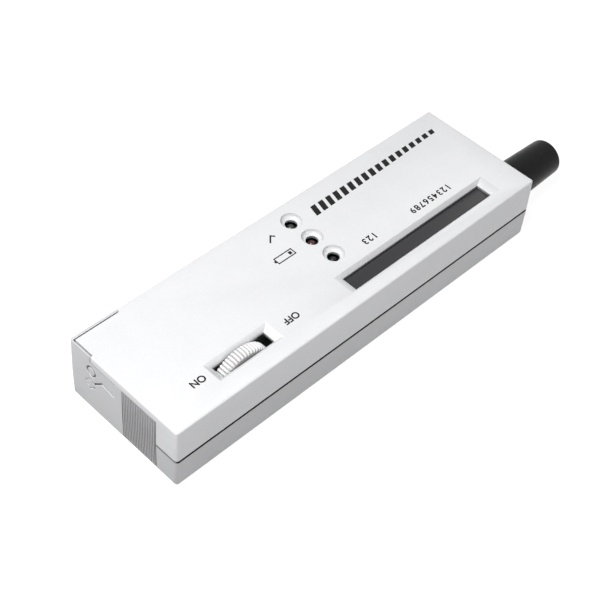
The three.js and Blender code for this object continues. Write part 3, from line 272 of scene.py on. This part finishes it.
def noise(tree, scale, detail=slow_detail):
    texture = tree.nodes.new("ShaderNodeTexNoise")
    texture.inputs["Scale"].default_value = scale
    texture.inputs["Detail"].default_value = detail
    tree.links.new(object_coordinates(tree), texture.inputs["Vector"])
    return texture.outputs["Fac"]


def ranged(tree, value, low, high, start=noise_start, end=noise_end):
    """From low where the value is at the start to high where it is at the end."""
    node = tree.nodes.new("ShaderNodeMapRange")
    node.inputs["From Min"].default_value = start
    node.inputs["From Max"].default_value = end
    node.inputs["To Min"].default_value = low
    node.inputs["To Max"].default_value = high
    tree.links.new(value, node.inputs["Value"])
    return node.outputs["Result"]


def mixed(tree, factor, first, second, blend_type="MIX"):
    node = tree.nodes.new("ShaderNodeMix")
    node.data_type = "RGBA"
    node.blend_type = blend_type
    sockets = {socket.identifier: socket for socket in node.inputs}
    for key, value in (("Factor_Float", factor), ("A_Color", first), ("B_Color", second)):
        if isinstance(value, bpy.types.NodeSocket):
            tree.links.new(value, sockets[key])
        else:
            sockets[key].default_value = value
    return next(socket for socket in node.outputs if socket.identifier == "Result_Color")


def calculated(tree, operation, first, second=0.0):
    node = tree.nodes.new("ShaderNodeMath")
    node.operation = operation
    for socket, value in zip(node.inputs, (first, second)):
        if isinstance(value, bpy.types.NodeSocket):
            tree.links.new(value, socket)
        else:
            socket.default_value = value
    return node.outputs["Value"]


def toned(colour, share):
    return tuple(min(1.0, part * share) for part in colour[:3]) + (1.0,)


def finish(name, colour, roughness, metallic=0.0, tone=0.04, tone_scale=150, grain=0.04, grain_scale=2500,
           gloss_spread=0.05, bump=0.15, bump_scale=2500, bump_depth=0.01 * MM, sockets=None):
    """A surface with slow and fine changes of colour, uneven gloss and a fine bump."""
    material, tree, shader = new_material(name)
    drift = ranged(tree, noise(tree, tone_scale), 0, 1)
    slow = mixed(tree, drift, toned(colour, 1 - tone), toned(colour, 1 + tone))
    speck = ranged(tree, noise(tree, grain_scale, fine_detail), 0, 1)
    fine = mixed(tree, speck, toned((1, 1, 1), 1 - grain), (1, 1, 1, 1))
    tree.links.new(mixed(tree, 1.0, slow, fine, "MULTIPLY"), shader.inputs["Base Color"])
    patches = noise(tree, tone_scale * gloss_scale_share)
    gloss = ranged(tree, patches, roughness - gloss_spread, roughness + gloss_spread)
    tree.links.new(gloss, shader.inputs["Roughness"])
    shader.inputs["Metallic"].default_value = metallic
    bumps = tree.nodes.new("ShaderNodeBump")
    bumps.inputs["Strength"].default_value = bump
    bumps.inputs["Distance"].default_value = bump_depth
    tree.links.new(noise(tree, bump_scale, fine_detail), bumps.inputs["Height"])
    tree.links.new(bumps.outputs["Normal"], shader.inputs["Normal"])
    for socket, value in (sockets or {}).items():
        shader.inputs[socket].default_value = value
    return material


def within(tree, limits):
    """1 where each value has passed its limit by the fade, 0 where any hasn't reached it."""
    mask = 1.0
    for value, outside, inside in limits:
        mask = calculated(tree, "MULTIPLY", mask, ranged(tree, value, 0, 1, outside, inside))
    return mask


def place_parts(tree):
    """The three coordinates of the shaded point, in metres."""
    parts = tree.nodes.new("ShaderNodeSeparateXYZ")
    tree.links.new(object_coordinates(tree), parts.inputs["Vector"])
    return [parts.outputs[axis] for axis in "XYZ"]


def inside_shade_mask(tree):
    """1 inside the housing's outer skin, where painted shade goes, 0 in the skin."""
    length, width, height = place_parts(tree)
    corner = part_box("upper_housing")[1]
    limits = [(height, corner.z - top_paint_reach, corner.z - top_paint_reach - paint_fade),
              (height, floor_paint_reach, floor_paint_reach + paint_fade)]
    for value, edge in ((length, corner.x - paint_reach), (width, corner.y - paint_reach)):
        limits.append((calculated(tree, "ABSOLUTE", value), edge, edge - paint_fade))
    return within(tree, limits)


def recess_shade_mask(tree):
    """1 below the level of the top face and away from its rim, as on its bevels and in its dishes, where
    painted shade goes.
    """
    length, width, height = place_parts(tree)
    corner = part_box("upper_housing")[1]
    limits = [(height, corner.z - recess_from, corner.z - recess_from - seam_fade)]
    for value, edge in ((length, corner.x - recess_margin), (width, corner.y - recess_margin)):
        limits.append((calculated(tree, "ABSOLUTE", value), edge, edge - paint_fade))
    return within(tree, limits)


def seam_limits(tree):
    """The limits of the lips of the seam between the shells, where painted shadow goes."""
    height = place_parts(tree)[2]
    low, high = seam_low - seam_shade, seam_high + seam_shade
    return [(height, high, high - seam_fade), (height, low, low + seam_fade)]


def painted_over(material, mask, colour):
    """Puts a plain colour where the mask is 1, under the same gloss and bump."""
    tree = material.node_tree
    shader = tree.nodes["Principled BSDF"]
    before = shader.inputs["Base Color"].links[0].from_socket
    tree.links.new(mixed(tree, mask, before, colour), shader.inputs["Base Color"])


def silver_paint(name, tone=1.0):
    """Fine-grained silver paint, with painted shade in the recesses of the top face and a darker painted
    shade inside the housing.
    """
    material = finish(name, toned(paint_colour, tone), 0.4, metallic=0.1, tone=0.012, tone_scale=90,
                      grain=0.06, grain_scale=3200, gloss_spread=0.03, bump=0.12, bump_scale=3600)
    # Painted shade in the recesses of the top face
    painted_over(material, recess_shade_mask(material.node_tree), toned(recess_shade_colour, tone))
    # Painted shade inside the housing
    painted_over(material, inside_shade_mask(material.node_tree), inside_shade_colour)
    return material


def shell_paint(name, tone=1.0):
    """The paint of the two shells, with a painted shadow in their seam: grey at the battery end, where light
    falls into it, and dark elsewhere.
    """
    material = silver_paint(name, tone)
    tree = material.node_tree
    lips = seam_limits(tree)
    # Painted shadow in the seam, lighter at the battery end where light falls into it
    painted_over(material, within(tree, lips), seam_end_shadow_colour)
    side = cad_low.x + paint_reach
    lips.append((place_parts(tree)[0], side, side + paint_fade))
    # Darker painted shadow in the seam on the sides
    painted_over(material, within(tree, lips), seam_side_shadow_colour)
    return material


def door_shaded_paint():
    """The same paint in a darker shaded copy, with painted shade making the ribs of the grip duller, painted
    light in its grooves, and dark painted shade at the bottom of the engraving.
    """
    material = silver_paint("door_shaded_paint", door_shade_tone)
    tree = material.node_tree
    depth, across, height = place_parts(tree)
    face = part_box("battery_door")[0].x
    grip = [(depth, face + grip_reach + paint_fade, face + grip_reach),
            (across, grip_near - paint_fade, grip_near), (across, grip_far + paint_fade, grip_far)]
    # Painted shade on the ribs of the grip
    painted_over(material, within(tree, grip), grip_shade_colour)
    grooves = [*grip, (depth, face + grip_groove_from, face + grip_groove_from + seam_fade)]
    # Painted light in the grooves of the grip
    painted_over(material, within(tree, grooves), grip_groove_light_colour)
    engraved = [(depth, face + engraved_paint_from, face + engraved_paint_from + paint_fade)]
    for value, low, high in zip((across, height), engraved_from, engraved_to):
        engraved += [(value, low, low + paint_fade), (value, high, high - paint_fade)]
    # Painted shade at the bottom of the engraving
    painted_over(material, within(tree, engraved), engraving_shade_colour)
    return material


def wheel_plastic():
    """White plastic with grey painted shade in the grooves and on the side faces."""
    material = finish("wheel_plastic", (0.9, 0.9, 0.9), 0.42, tone=0.01, grain=0.02, bump=0.1,
                      sockets={"Subsurface Weight": 0.05, "Subsurface Scale": 0.5 * MM})
    tree = material.node_tree
    low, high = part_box("thumbwheel")
    centre = (low + high) / 2
    offset = tree.nodes.new("ShaderNodeVectorMath")
    offset.operation = "SUBTRACT"
    tree.links.new(object_coordinates(tree), offset.inputs[0])
    offset.inputs[1].default_value = centre
    parts = tree.nodes.new("ShaderNodeSeparateXYZ")
    tree.links.new(offset.outputs["Vector"], parts.inputs["Vector"])
    angle = calculated(tree, "ARCTAN2", parts.outputs["X"], parts.outputs["Z"])
    wave = calculated(tree, "COSINE", calculated(tree, "MULTIPLY", angle, float(wheel_ribs)))
    # Painted shade in the grooves
    painted_over(material, ranged(tree, wave, 1, 0, -1, groove_share * 2 - 1), wheel_groove_shade_colour)
    side = calculated(tree, "ABSOLUTE", parts.outputs["Y"])
    half = (high.y - low.y) / 2
    # Painted shade on the side faces
    painted_over(material, ranged(tree, side, 0, 1, half - wheel_fade, half), wheel_side_shade_colour)
    return material


# Plain finishes: the colour, the roughness and what differs from the usual settings
plain_finishes = {
    "black_plastic": ((0.0068, 0.007, 0.0076), 0.34,
                      {"tone": 0.3, "tone_scale": 300, "grain": 0.25, "grain_scale": 2200,
                       "gloss_spread": 0.1, "bump": 0.25, "bump_scale": 1500, "bump_depth": 0.02 * MM,
                       "sockets": {"Specular IOR Level": 0.13}}),
    "smoked_lens": ((0.018, 0.017, 0.02), 0.16,
                    {"tone": 0.03, "tone_scale": 60, "grain": 0.04, "gloss_spread": 0.03, "bump": 0.03}),
    "green_board": ((0.02, 0.16, 0.06), 0.4, {"tone": 0.15, "tone_scale": 350, "grain": 0.1}),
    "red_lamp": ((0.06, 0.016, 0.022), 0.24, {"tone": 0.1, "grain": 0.02, "bump": 0.03}),
    "green_lamp": ((0.03, 0.033, 0.031), 0.24, {"tone": 0.1, "grain": 0.02, "bump": 0.03}),
    "clear_lamp": ((0.012, 0.012, 0.014), 0.34,
                   {"tone": 0.1, "grain": 0.02, "bump": 0.03, "sockets": {"Specular IOR Level": 0.3}}),
    "chip_black": ((0.018, 0.018, 0.02), 0.55, {"tone": 0.1, "grain": 0.2, "bump": 0.3}),
    "blue_sleeve": ((0.025, 0.05, 0.14), 0.35, {"tone": 0.06, "grain": 0.04}),
    "steel": ((0.56, 0.57, 0.58), 0.28,
              {"metallic": 1.0, "tone": 0.05, "tone_scale": 700, "grain": 0.08, "bump": 0.12}),
    "copper": ((0.62, 0.31, 0.17), 0.28,
               {"metallic": 1.0, "tone": 0.08, "tone_scale": 900, "grain": 0.08, "bump": 0.12}),
    "battery_jacket": ((0.05, 0.055, 0.065), 0.32, {"metallic": 0.3, "tone": 0.05, "grain": 0.05}),
    "red_wire": ((0.42, 0.02, 0.025), 0.42, {"tone": 0.06, "grain": 0.05}),
    "black_wire": ((0.014, 0.014, 0.015), 0.42, {"tone": 0.06, "grain": 0.05}),
    "ceramic": ((0.66, 0.61, 0.48), 0.6, {"tone": 0.06, "grain": 0.08, "bump": 0.3}),
    "ink": ((0.012, 0.012, 0.013), 0.5,
            {"tone": 0.08, "grain": 0.15, "bump": 0.1, "sockets": {"Specular IOR Level": 0.15}}),
}


def make_materials():
    made = {
        "silver_paint": shell_paint("silver_paint"),
        # Darker shaded copies of the paint for the lower shell and the door
        "lower_shaded_paint": shell_paint("lower_shaded_paint", lower_shade_tone),
        "door_shaded_paint": door_shaded_paint(),
        "wheel_plastic": wheel_plastic(),
    }
    for name, (colour, roughness, settings) in plain_finishes.items():
        made[name] = finish(name, colour, roughness, **settings)
    return made


materials = make_materials()
slot_of_node = {part["node"]: part["material_slot"] for part in frame["record"]["subparts"]}


# Mesh helpers
def smooth(mesh):
    mesh.shade_smooth()
    mesh.set_sharp_from_angle(angle=edge_angle)


def add_modifier(piece, kind, **settings):
    modifier = piece.modifiers.new(kind.lower(), kind)
    for key, value in settings.items():
        setattr(modifier, key, value)


def round_edges(piece, width):
    add_modifier(piece, "BEVEL", width=width, segments=edge_segments, limit_method="ANGLE",
                 angle_limit=edge_angle, harden_normals=True, use_clamp_overlap=True)


def dress(node, edge=small_edge, cutter=None, finish_name=None):
    """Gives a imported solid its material, soft edges and smooth round faces."""
    piece = frame["nodes"][node]
    piece.data.materials.clear()
    piece.data.materials.append(materials[finish_name or slot_of_node[node]])
    if "custom_normal" in piece.data.attributes:
        piece.data.attributes.remove(piece.data.attributes["custom_normal"])
    piece.data.shade_smooth()
    add_modifier(piece, "WELD", merge_threshold=weld_distance)
    if cutter:
        add_modifier(piece, "BOOLEAN", operation="DIFFERENCE", object=cutter, solver="EXACT", use_self=True)
    add_modifier(piece, "DECIMATE", decimate_type="DISSOLVE", angle_limit=flat_angle)
    round_edges(piece, edge)


def linked(name, mesh):
    piece = bpy.data.objects.new(name, mesh)
    bpy.context.scene.collection.objects.link(piece)
    return piece


def mesh_from(name, points, faces):
    mesh = bpy.data.meshes.new(name)
    mesh.from_pydata([tuple(point) for point in points], [], faces)
    work = bmesh.new()
    work.from_mesh(mesh)
    bmesh.ops.remove_doubles(work, verts=work.verts, dist=weld_distance)
    bmesh.ops.recalc_face_normals(work, faces=work.faces)
    work.to_mesh(mesh)
    work.free()
    smooth(mesh)
    return mesh


def add_piece(name, mesh, body, finish_name, node=None, edge=None):
    piece = linked(name, mesh)
    mesh.materials.append(materials[finish_name])
    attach(piece, body)
    if node:
        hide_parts(node)
    if edge:
        round_edges(piece, edge)
    return piece


def turned(name, profile, centre, axis, sides=round_sides, outline=None):
    """A profile of (along, radius) points turned about a line through the centre along an axis."""
    points, faces = [], []
    for side in range(sides):
        angle = 2 * math.pi * side / sides
        for place, (along, radius) in enumerate(profile):
            reach = radius + (outline(side, place) if outline else 0.0)
            around = [centre[0], centre[1], centre[2]]
            around[axis] = along
            around[(axis + 1) % 3] += reach * math.cos(angle)
            around[(axis + 2) % 3] += reach * math.sin(angle)
            points.append(around)
    count = len(profile)
    for side in range(sides):
        here, there = side * count, (side + 1) % sides * count
        for step in range(count - 1):
            faces.append((here + step, here + step + 1, there + step + 1, there + step))
    return mesh_from(name, points, faces)


def quarter(centre_along, centre_radius, size, start, end, steps=round_steps):
    """Points of a round edge in a profile, from one angle to another in degrees."""
    turn = (math.radians(start + (end - start) * step / steps) for step in range(steps + 1))
    return [(centre_along + size * math.sin(angle), centre_radius + size * math.cos(angle)) for angle in turn]


def prisms(name, outlines, base, height):
    """Flat outlines in the XY plane raised to a height, as closed solids in one mesh."""
    points, faces = [], []
    for outline in outlines:
        first, count = len(points), len(outline)
        points += [(x, y, base) for x, y in outline]
        points += [(x, y, base + height) for x, y in outline]
        faces.append(tuple(first + step for step in reversed(range(count))))
        faces.append(tuple(first + count + step for step in range(count)))
        for step in range(count):
            after = (step + 1) % count
            faces.append((first + step, first + after, first + count + after, first + count + step))
    return mesh_from(name, points, faces)


def sides_of_line(points, width, closed):
    """Right and left points of a line with a width, mitred at its turns."""
    pairs = []
    for place, point in enumerate(points):
        runs = []
        if closed or place:
            runs.append((Vector(point) - Vector(points[place - 1])).normalized())
        if closed or place < len(points) - 1:
            runs.append((Vector(points[(place + 1) % len(points)]) - Vector(point)).normalized())
        normals = [Vector((-run.y, run.x)) for run in runs]
        side = sum(normals, Vector((0, 0))).normalized()
        reach = side * (width / 2 / side.dot(normals[0]))
        pairs.append((Vector(point) - reach, Vector(point) + reach))
    return pairs


def lines(name, paths, width, base, height, foot=None):
    """Lines in the XY plane raised to a height, with a foot of another width if one is given.

    Each path is its points and whether it closes on itself.
    """
    points, faces = [], []
    for path, closed in paths:
        first, count = len(points), len(path)
        tops = sides_of_line(path, width, closed)
        feet = sides_of_line(path, foot or width, closed)
        for (right, left), (foot_right, foot_left) in zip(tops, feet):
            points += [(*foot_right, base), (*foot_left, base)]
            points += [(*left, base + height), (*right, base + height)]
        for step in range(count if closed else count - 1):
            here, there = first + 4 * step, first + 4 * ((step + 1) % count)
            for corner in range(4):
                after = (corner + 1) % 4
                faces.append((here + corner, there + corner, there + after, here + after))
        if not closed:
            faces.append(tuple(first + corner for corner in range(4)))
            faces.append(tuple(first + 4 * (count - 1) + corner for corner in reversed(range(4))))
    return mesh_from(name, points, faces)


def arc(place, radius, start, turn, steps):
    """Points round a part of a circle, without the one that ends it."""
    angles = (start + turn * step / steps for step in range(steps))
    return [(place[0] + radius * math.cos(angle), place[1] + radius * math.sin(angle)) for angle in angles]


# Shells, wheel, cap, probe and lamps
def engrave_door():
    """The cutter for a whole ring, a broken ring and the line from it, which rides on the door."""
    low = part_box("battery_door")[0]
    full = 2 * math.pi
    whole_ring = arc(whole_ring_place, contact_ring_radius, 0, full, ring_arcs * arc_steps)
    paths = [(whole_ring, True), (lead_points, False)]
    for part in range(ring_arcs):
        start, turn = full * part / ring_arcs, full * arc_share / ring_arcs
        paths.append((arc(broken_ring_place, contact_ring_radius, start, turn, arc_steps), False))
    mesh = lines("door_engraving", paths, engraving_bottom, -engraving_lift, engraving_lift + engraving_depth,
                 engraving_mouth)
    # The drawing's X runs across the door, its Y up it and its height into it
    mesh.transform(Matrix(((0, 0, 1, low.x), (1, 0, 0, 0), (0, 1, 0, 0), (0, 0, 0, 1))))
    cutter = linked("door_engraving", mesh)
    cutter.hide_render = True
    cutter.hide_viewport = True
    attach(cutter, "door")
    return cutter


def make_shells():
    dress("upper_housing", shell_edge)
    # The lower shell and the door take darker shaded copies of the paint
    dress("lower_housing", shell_edge, finish_name="lower_shaded_paint")
    dress("battery_door", shell_edge, engrave_door(), "door_shaded_paint")


def make_wheel():
    low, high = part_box("thumbwheel")
    centre = (low + high) / 2
    radius, near, far = (high.z - low.z) / 2, low.y, high.y
    root = radius - rib_height
    edge_points = [((1 + along) * wheel_edge_along, root - (1 - reach) * wheel_edge_in)
                   for along, reach in quarter(0, 0, 1, -90, 0, wheel_edge_steps)]
    crest = [(near + along, reach) for along, reach in edge_points]
    crest += [(far - along, reach) for along, reach in reversed(edge_points)]
    near_rim = [(near + wheel_dish_depth, wheel_dish_radius), (near, wheel_dish_radius)]
    profile = [
        *near_rim,
        *crest,
        (far, wheel_dish_radius),
        (far - wheel_dish_depth, wheel_dish_radius),
        (far - wheel_dish_depth, wheel_hub_radius),
        (far, wheel_hub_radius),
        (far, wheel_head_bore),
        (far - wheel_head_seat, wheel_head_bore),
        (far - wheel_head_seat, wheel_screw_bore),
        (near + wheel_spigot_depth, wheel_screw_bore),
        (near + wheel_spigot_depth, wheel_spigot_bore),
        (near, wheel_spigot_bore),
        (near, wheel_hub_radius),
        (near + wheel_dish_depth, wheel_hub_radius),
        (near + wheel_dish_depth, wheel_dish_radius),
    ]
    ribbed = range(len(near_rim), len(near_rim) + len(crest))

    def rib(side, place):
        if place not in ribbed:
            return 0.0
        turn = 2 * math.pi * side / points_per_rib
        return rib_height * (0.5 + 0.5 * math.cos(turn)) ** rib_sharpness

    mesh = turned("ribbed_thumbwheel", profile, centre, across_axis, wheel_ribs * points_per_rib, rib)
    add_piece("ribbed_thumbwheel", mesh, "wheel", "wheel_plastic", "thumbwheel")


def make_cap():
    low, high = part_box("protective_cap")
    centre = (low + high) / 2
    radius = (high.z - low.z) / 2
    profile = [
        (high.x - cap_end_wall, 0.0),
        (high.x - cap_end_wall, cap_end_radius - cap_wall),
        (low.x + cap_mouth_round, radius - cap_wall),
        (low.x, radius - cap_wall + cap_mouth_round),
        *quarter(low.x + cap_mouth_round, radius - cap_mouth_round, cap_mouth_round, -90, 0),
        *quarter(high.x - cap_end_round, cap_end_radius - cap_end_round, cap_end_round, 0, 90),
        (high.x, 0.0),
    ]
    mesh = turned("probe_cap", profile, centre, along_axis)
    add_piece("probe_cap", mesh, "cap", "black_plastic", "protective_cap")


def make_probe():
    nose_low, nose_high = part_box("probe_nose")
    centre = (nose_low + nose_high) / 2
    flange_radius = (nose_high.z - nose_low.z) / 2
    nose = [
        (nose_low.x, nose_bore),
        (nose_low.x, flange_radius),
        (nose_flange_front, flange_radius),
        (nose_flange_front, nose_radius),
        (nose_straight_end, nose_radius),
        (nose_high.x, nose_tip_radius),
        (nose_high.x, nose_bore),
        (nose_low.x, nose_bore),
    ]
    mesh = turned("nose_cone", nose, centre, along_axis)
    add_piece("nose_cone", mesh, "housing", "black_plastic", "probe_nose", small_edge)
    low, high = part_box("probe_sleeve")
    collar_radius = (high.z - low.z) / 2
    sleeve = [
        (low.x, sleeve_bore),
        (low.x, sleeve_radius),
        (sleeve_collar_back, sleeve_radius),
        (sleeve_collar_back, collar_radius),
        (sleeve_collar_front, collar_radius),
        (sleeve_collar_front, sleeve_radius),
        *quarter(high.x - sleeve_round, sleeve_radius - sleeve_round, sleeve_round, 0, 90),
        (high.x, sleeve_bore),
        (low.x, sleeve_bore),
    ]
    mesh = turned("tip_sleeve", sleeve, centre, along_axis)
    add_piece("tip_sleeve", mesh, "housing", "steel", "probe_sleeve", small_edge)
    low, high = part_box("probe_tip")
    tip_collar_radius = (high.z - low.z) / 2
    tip = [
        (low.x, 0.0),
        (low.x, tip_collar_radius),
        (tip_collar_end, tip_collar_radius),
        (tip_collar_end, tip_rod_radius),
        (tip_rod_end, tip_rod_radius),
        (tip_rod_end + tip_rod_radius - tip_point_radius, tip_point_radius),
        *quarter(high.x - tip_point_radius, 0.0, tip_point_radius, 0, 90),
    ]
    mesh = turned("sensing_tip", tip, centre, along_axis)
    add_piece("sensing_tip", mesh, "tip", "copper", "probe_tip", small_edge / 2)


def make_spring():
    """A coil of round wire behind the tip."""
    low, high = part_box("probe_spring")
    centre = sum(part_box("probe_sleeve"), Vector()) / 2
    span = high.x - low.x
    steps = spring_curls * steps_per_curl
    points, faces = [], []
    for step in range(steps + 1):
        turn = 2 * math.pi * step / steps_per_curl
        along = low.x + spring_wire + (span - 2 * spring_wire) * step / steps
        for side in range(spring_sides):
            angle = 2 * math.pi * side / spring_sides
            reach = spring_radius + spring_wire * math.cos(angle)
            points.append((along + spring_wire * math.sin(angle), centre.y + reach * math.cos(turn),
                           centre.z + reach * math.sin(turn)))
    for step in range(steps):
        here, there = step * spring_sides, (step + 1) * spring_sides
        for side in range(spring_sides):
            after = (side + 1) % spring_sides
            faces.append((here + side, here + after, there + after, there + side))
    last = steps * spring_sides
    faces += [tuple(range(spring_sides)), tuple(range(last, last + spring_sides))]
    mesh = mesh_from("coil_spring", points, faces)
    spring = add_piece("coil_spring", mesh, "housing", "steel", "probe_spring")
    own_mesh(spring)


def make_indicator(node, name):
    low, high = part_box(node)
    centre = (low + high) / 2
    flange_radius = (high.x - low.x) / 2
    profile = [
        (low.z, 0.0),
        (low.z, flange_radius),
        (low.z + lamp_flange_height, flange_radius),
        (low.z + lamp_flange_height, lamp_radius),
        *quarter(high.z - lamp_radius, 0.0, lamp_radius, 0, 90, lamp_dome_steps),
    ]
    mesh = turned(name, profile, centre, up_axis, lamp_sides)
    add_piece(name, mesh, "housing", slot_of_node[node], node, small_edge)


# Print on the top face
def print_words(name, words, place):
    """Plain letters or numbers that read along -X with their tops to -Y."""
    curve = bpy.data.curves.new(name + "_outline", "FONT")
    curve.body = words
    curve.align_x = "CENTER"
    curve.align_y = "CENTER"
    curve.extrude = letter_outline_depth
    curve.offset = letter_boldness
    holder = linked(name + "_outline", curve)
    bpy.context.view_layer.update()
    mesh = bpy.data.meshes.new_from_object(holder.evaluated_get(bpy.context.evaluated_depsgraph_get()))
    bpy.data.objects.remove(holder)
    heights = [vertex.co.y for vertex in mesh.vertices]
    share = letter_height / (max(heights) - min(heights))
    middle = (max(heights) + min(heights)) / 2
    for vertex in mesh.vertices:
        x, y = vertex.co.x * share, (vertex.co.y - middle) * share
        level = ink_thickness if vertex.co.z > 0 else 0.0
        vertex.co = (place[0] - x, place[1] - y, ink_base + level)
    smooth(mesh)
    add_piece(name, mesh, "housing", "ink")


def scale_numbers(name, count, place):
    for number in range(count):
        x = place[0] + (count - 1 - 2 * number) / 2 * scale_pitch
        print_words(f"{name}_{number + 1}", str(number + 1), (x, place[1]))


def ink_lines(name, paths, width):
    add_piece(name, lines(name, paths, width, ink_base, ink_thickness), "housing", "ink")


def check_mark():
    points = [(check_place[0] + x, check_place[1] + y) for x, y in check_turns]
    ink_lines("check_mark", [(points, False)], check_line)


def battery_mark():
    x, y = battery_mark_place
    half_length, half_width = battery_mark_half
    left, right = x - half_length, x + half_length
    case = [(left, y - half_width), (right, y - half_width), (right, y + half_width), (left, y + half_width)]
    nub = [(left - battery_mark_line / 2, y), (left - battery_nub_reach, y)]
    level = [(right - battery_level_start, y), (right - battery_level_end, y)]
    ink_lines("battery_mark_case", [(case, True)], battery_mark_line)
    ink_lines("battery_mark_nub", [(nub, False)], battery_nub_line)
    ink_lines("battery_mark_level", [(level, False)], battery_level_line)


def rising_bars():
    """Slanted bars that rise in the reading direction, a plain ornament."""
    outlines = []
    pitch = (bars_start - bars_end) / bars_count
    for bar in range(bars_count):
        x = bars_start - bar * pitch
        share = bars_least_share + (1 - bars_least_share) * bar / (bars_count - 1)
        top, lean = bars_base - bars_height * share, bars_lean * share
        wide = pitch * bars_width_share
        outlines.append([(x, bars_base), (x - wide, bars_base), (x - wide - lean, top), (x - lean, top)])
    mesh = prisms("rising_bars", outlines, ink_base, ink_thickness)
    add_piece("rising_bars", mesh, "housing", "ink")


# Every piece and the print
lamp_nodes = ("ready_lamp", "battery_lamp", "alert_lamp")
finished_nodes = {"upper_housing", "lower_housing", "battery_door", "thumbwheel", "protective_cap",
                  "probe_nose", "probe_sleeve", "probe_tip", "probe_spring", *lamp_nodes}
make_shells()
make_wheel()
make_cap()
make_probe()
make_spring()
for lamp_node in lamp_nodes:
    make_indicator(lamp_node, lamp_node + "_dome")
for other_node in sorted(set(frame["nodes"]) - finished_nodes):
    dress(other_node)
print_words("print_on", "ON", on_place)
print_words("print_off", "OFF", off_place)
scale_numbers("short_scale", short_scale_count, short_scale_place)
scale_numbers("long_scale", long_scale_count, long_scale_place)
check_mark()
battery_mark()
rising_bars()


# Floor, light and camera
def background_share(tree):
    """1 for rays that show the background: straight from the camera, in a reflection or through glass."""
    path = tree.nodes.new("ShaderNodeLightPath")
    share = calculated(tree, "MAXIMUM", path.outputs["Is Camera Ray"], path.outputs["Is Glossy Ray"])
    return calculated(tree, "MAXIMUM", share, path.outputs["Is Transmission Ray"])


def make_floor():
    """A pale floor just below the object, with the background's white for rays that see it."""
    corners = [(x * floor_half, y * floor_half, -floor_gap) for x, y in ((-1, -1), (1, -1), (1, 1), (-1, 1))]
    mesh = bpy.data.meshes.new("floor")
    mesh.from_pydata(corners, [], [(0, 1, 2, 3)])
    material = bpy.data.materials.new("floor")
    material.use_nodes = True
    tree = material.node_tree
    tree.nodes.clear()
    diffuse = tree.nodes.new("ShaderNodeBsdfDiffuse")
    diffuse.inputs["Color"].default_value = floor_colour
    glow = tree.nodes.new("ShaderNodeEmission")
    tree.links.new(calculated(tree, "MULTIPLY", background_share(tree), floor_glow), glow.inputs["Strength"])
    both = tree.nodes.new("ShaderNodeAddShader")
    tree.links.new(diffuse.outputs["BSDF"], both.inputs[0])
    tree.links.new(glow.outputs["Emission"], both.inputs[1])
    output = tree.nodes.new("ShaderNodeOutputMaterial")
    tree.links.new(both.outputs["Shader"], output.inputs["Surface"])
    mesh.materials.append(material)
    linked("floor", mesh)


def make_world():
    world = bpy.data.worlds.new("studio")
    bpy.context.scene.world = world
    world.use_nodes = True
    tree = world.node_tree
    background = tree.nodes["Background"]
    background.inputs["Color"].default_value = (1.0, 1.0, 1.0, 1.0)
    strength = ranged(tree, background_share(tree), world_fill, world_seen, 0, 1)
    tree.links.new(strength, background.inputs["Strength"])


def area_lamp(name, place, size, power):
    """A square light that faces the origin."""
    light = bpy.data.lights.new(name, "AREA")
    light.shape = "SQUARE"
    light.size = size
    light.energy = power
    lamp = linked(name, light)
    lamp.location = place
    lamp.rotation_mode = "QUATERNION"
    lamp.rotation_quaternion = place.to_track_quat("Z", "Y")


def make_camera():
    data = bpy.data.cameras.new("camera")
    data.lens = camera_lens
    data.sensor_width = camera_sensor
    data.clip_start = camera_near
    data.clip_end = camera_far
    camera = linked("camera", data)
    back = -camera_forward.normalized()
    right = camera_up.cross(back).normalized()
    up = back.cross(right)
    camera.matrix_world = Matrix.Translation(camera_place) @ Matrix((right, up, back)).transposed().to_4x4()
    bpy.context.scene.camera = camera


make_floor()
make_world()
area_lamp("key", key_place, key_size, key_power)
area_lamp("side_fill", side_place, side_size, side_power)
make_camera()
bpy.context.scene.view_settings.view_transform = "Standard"
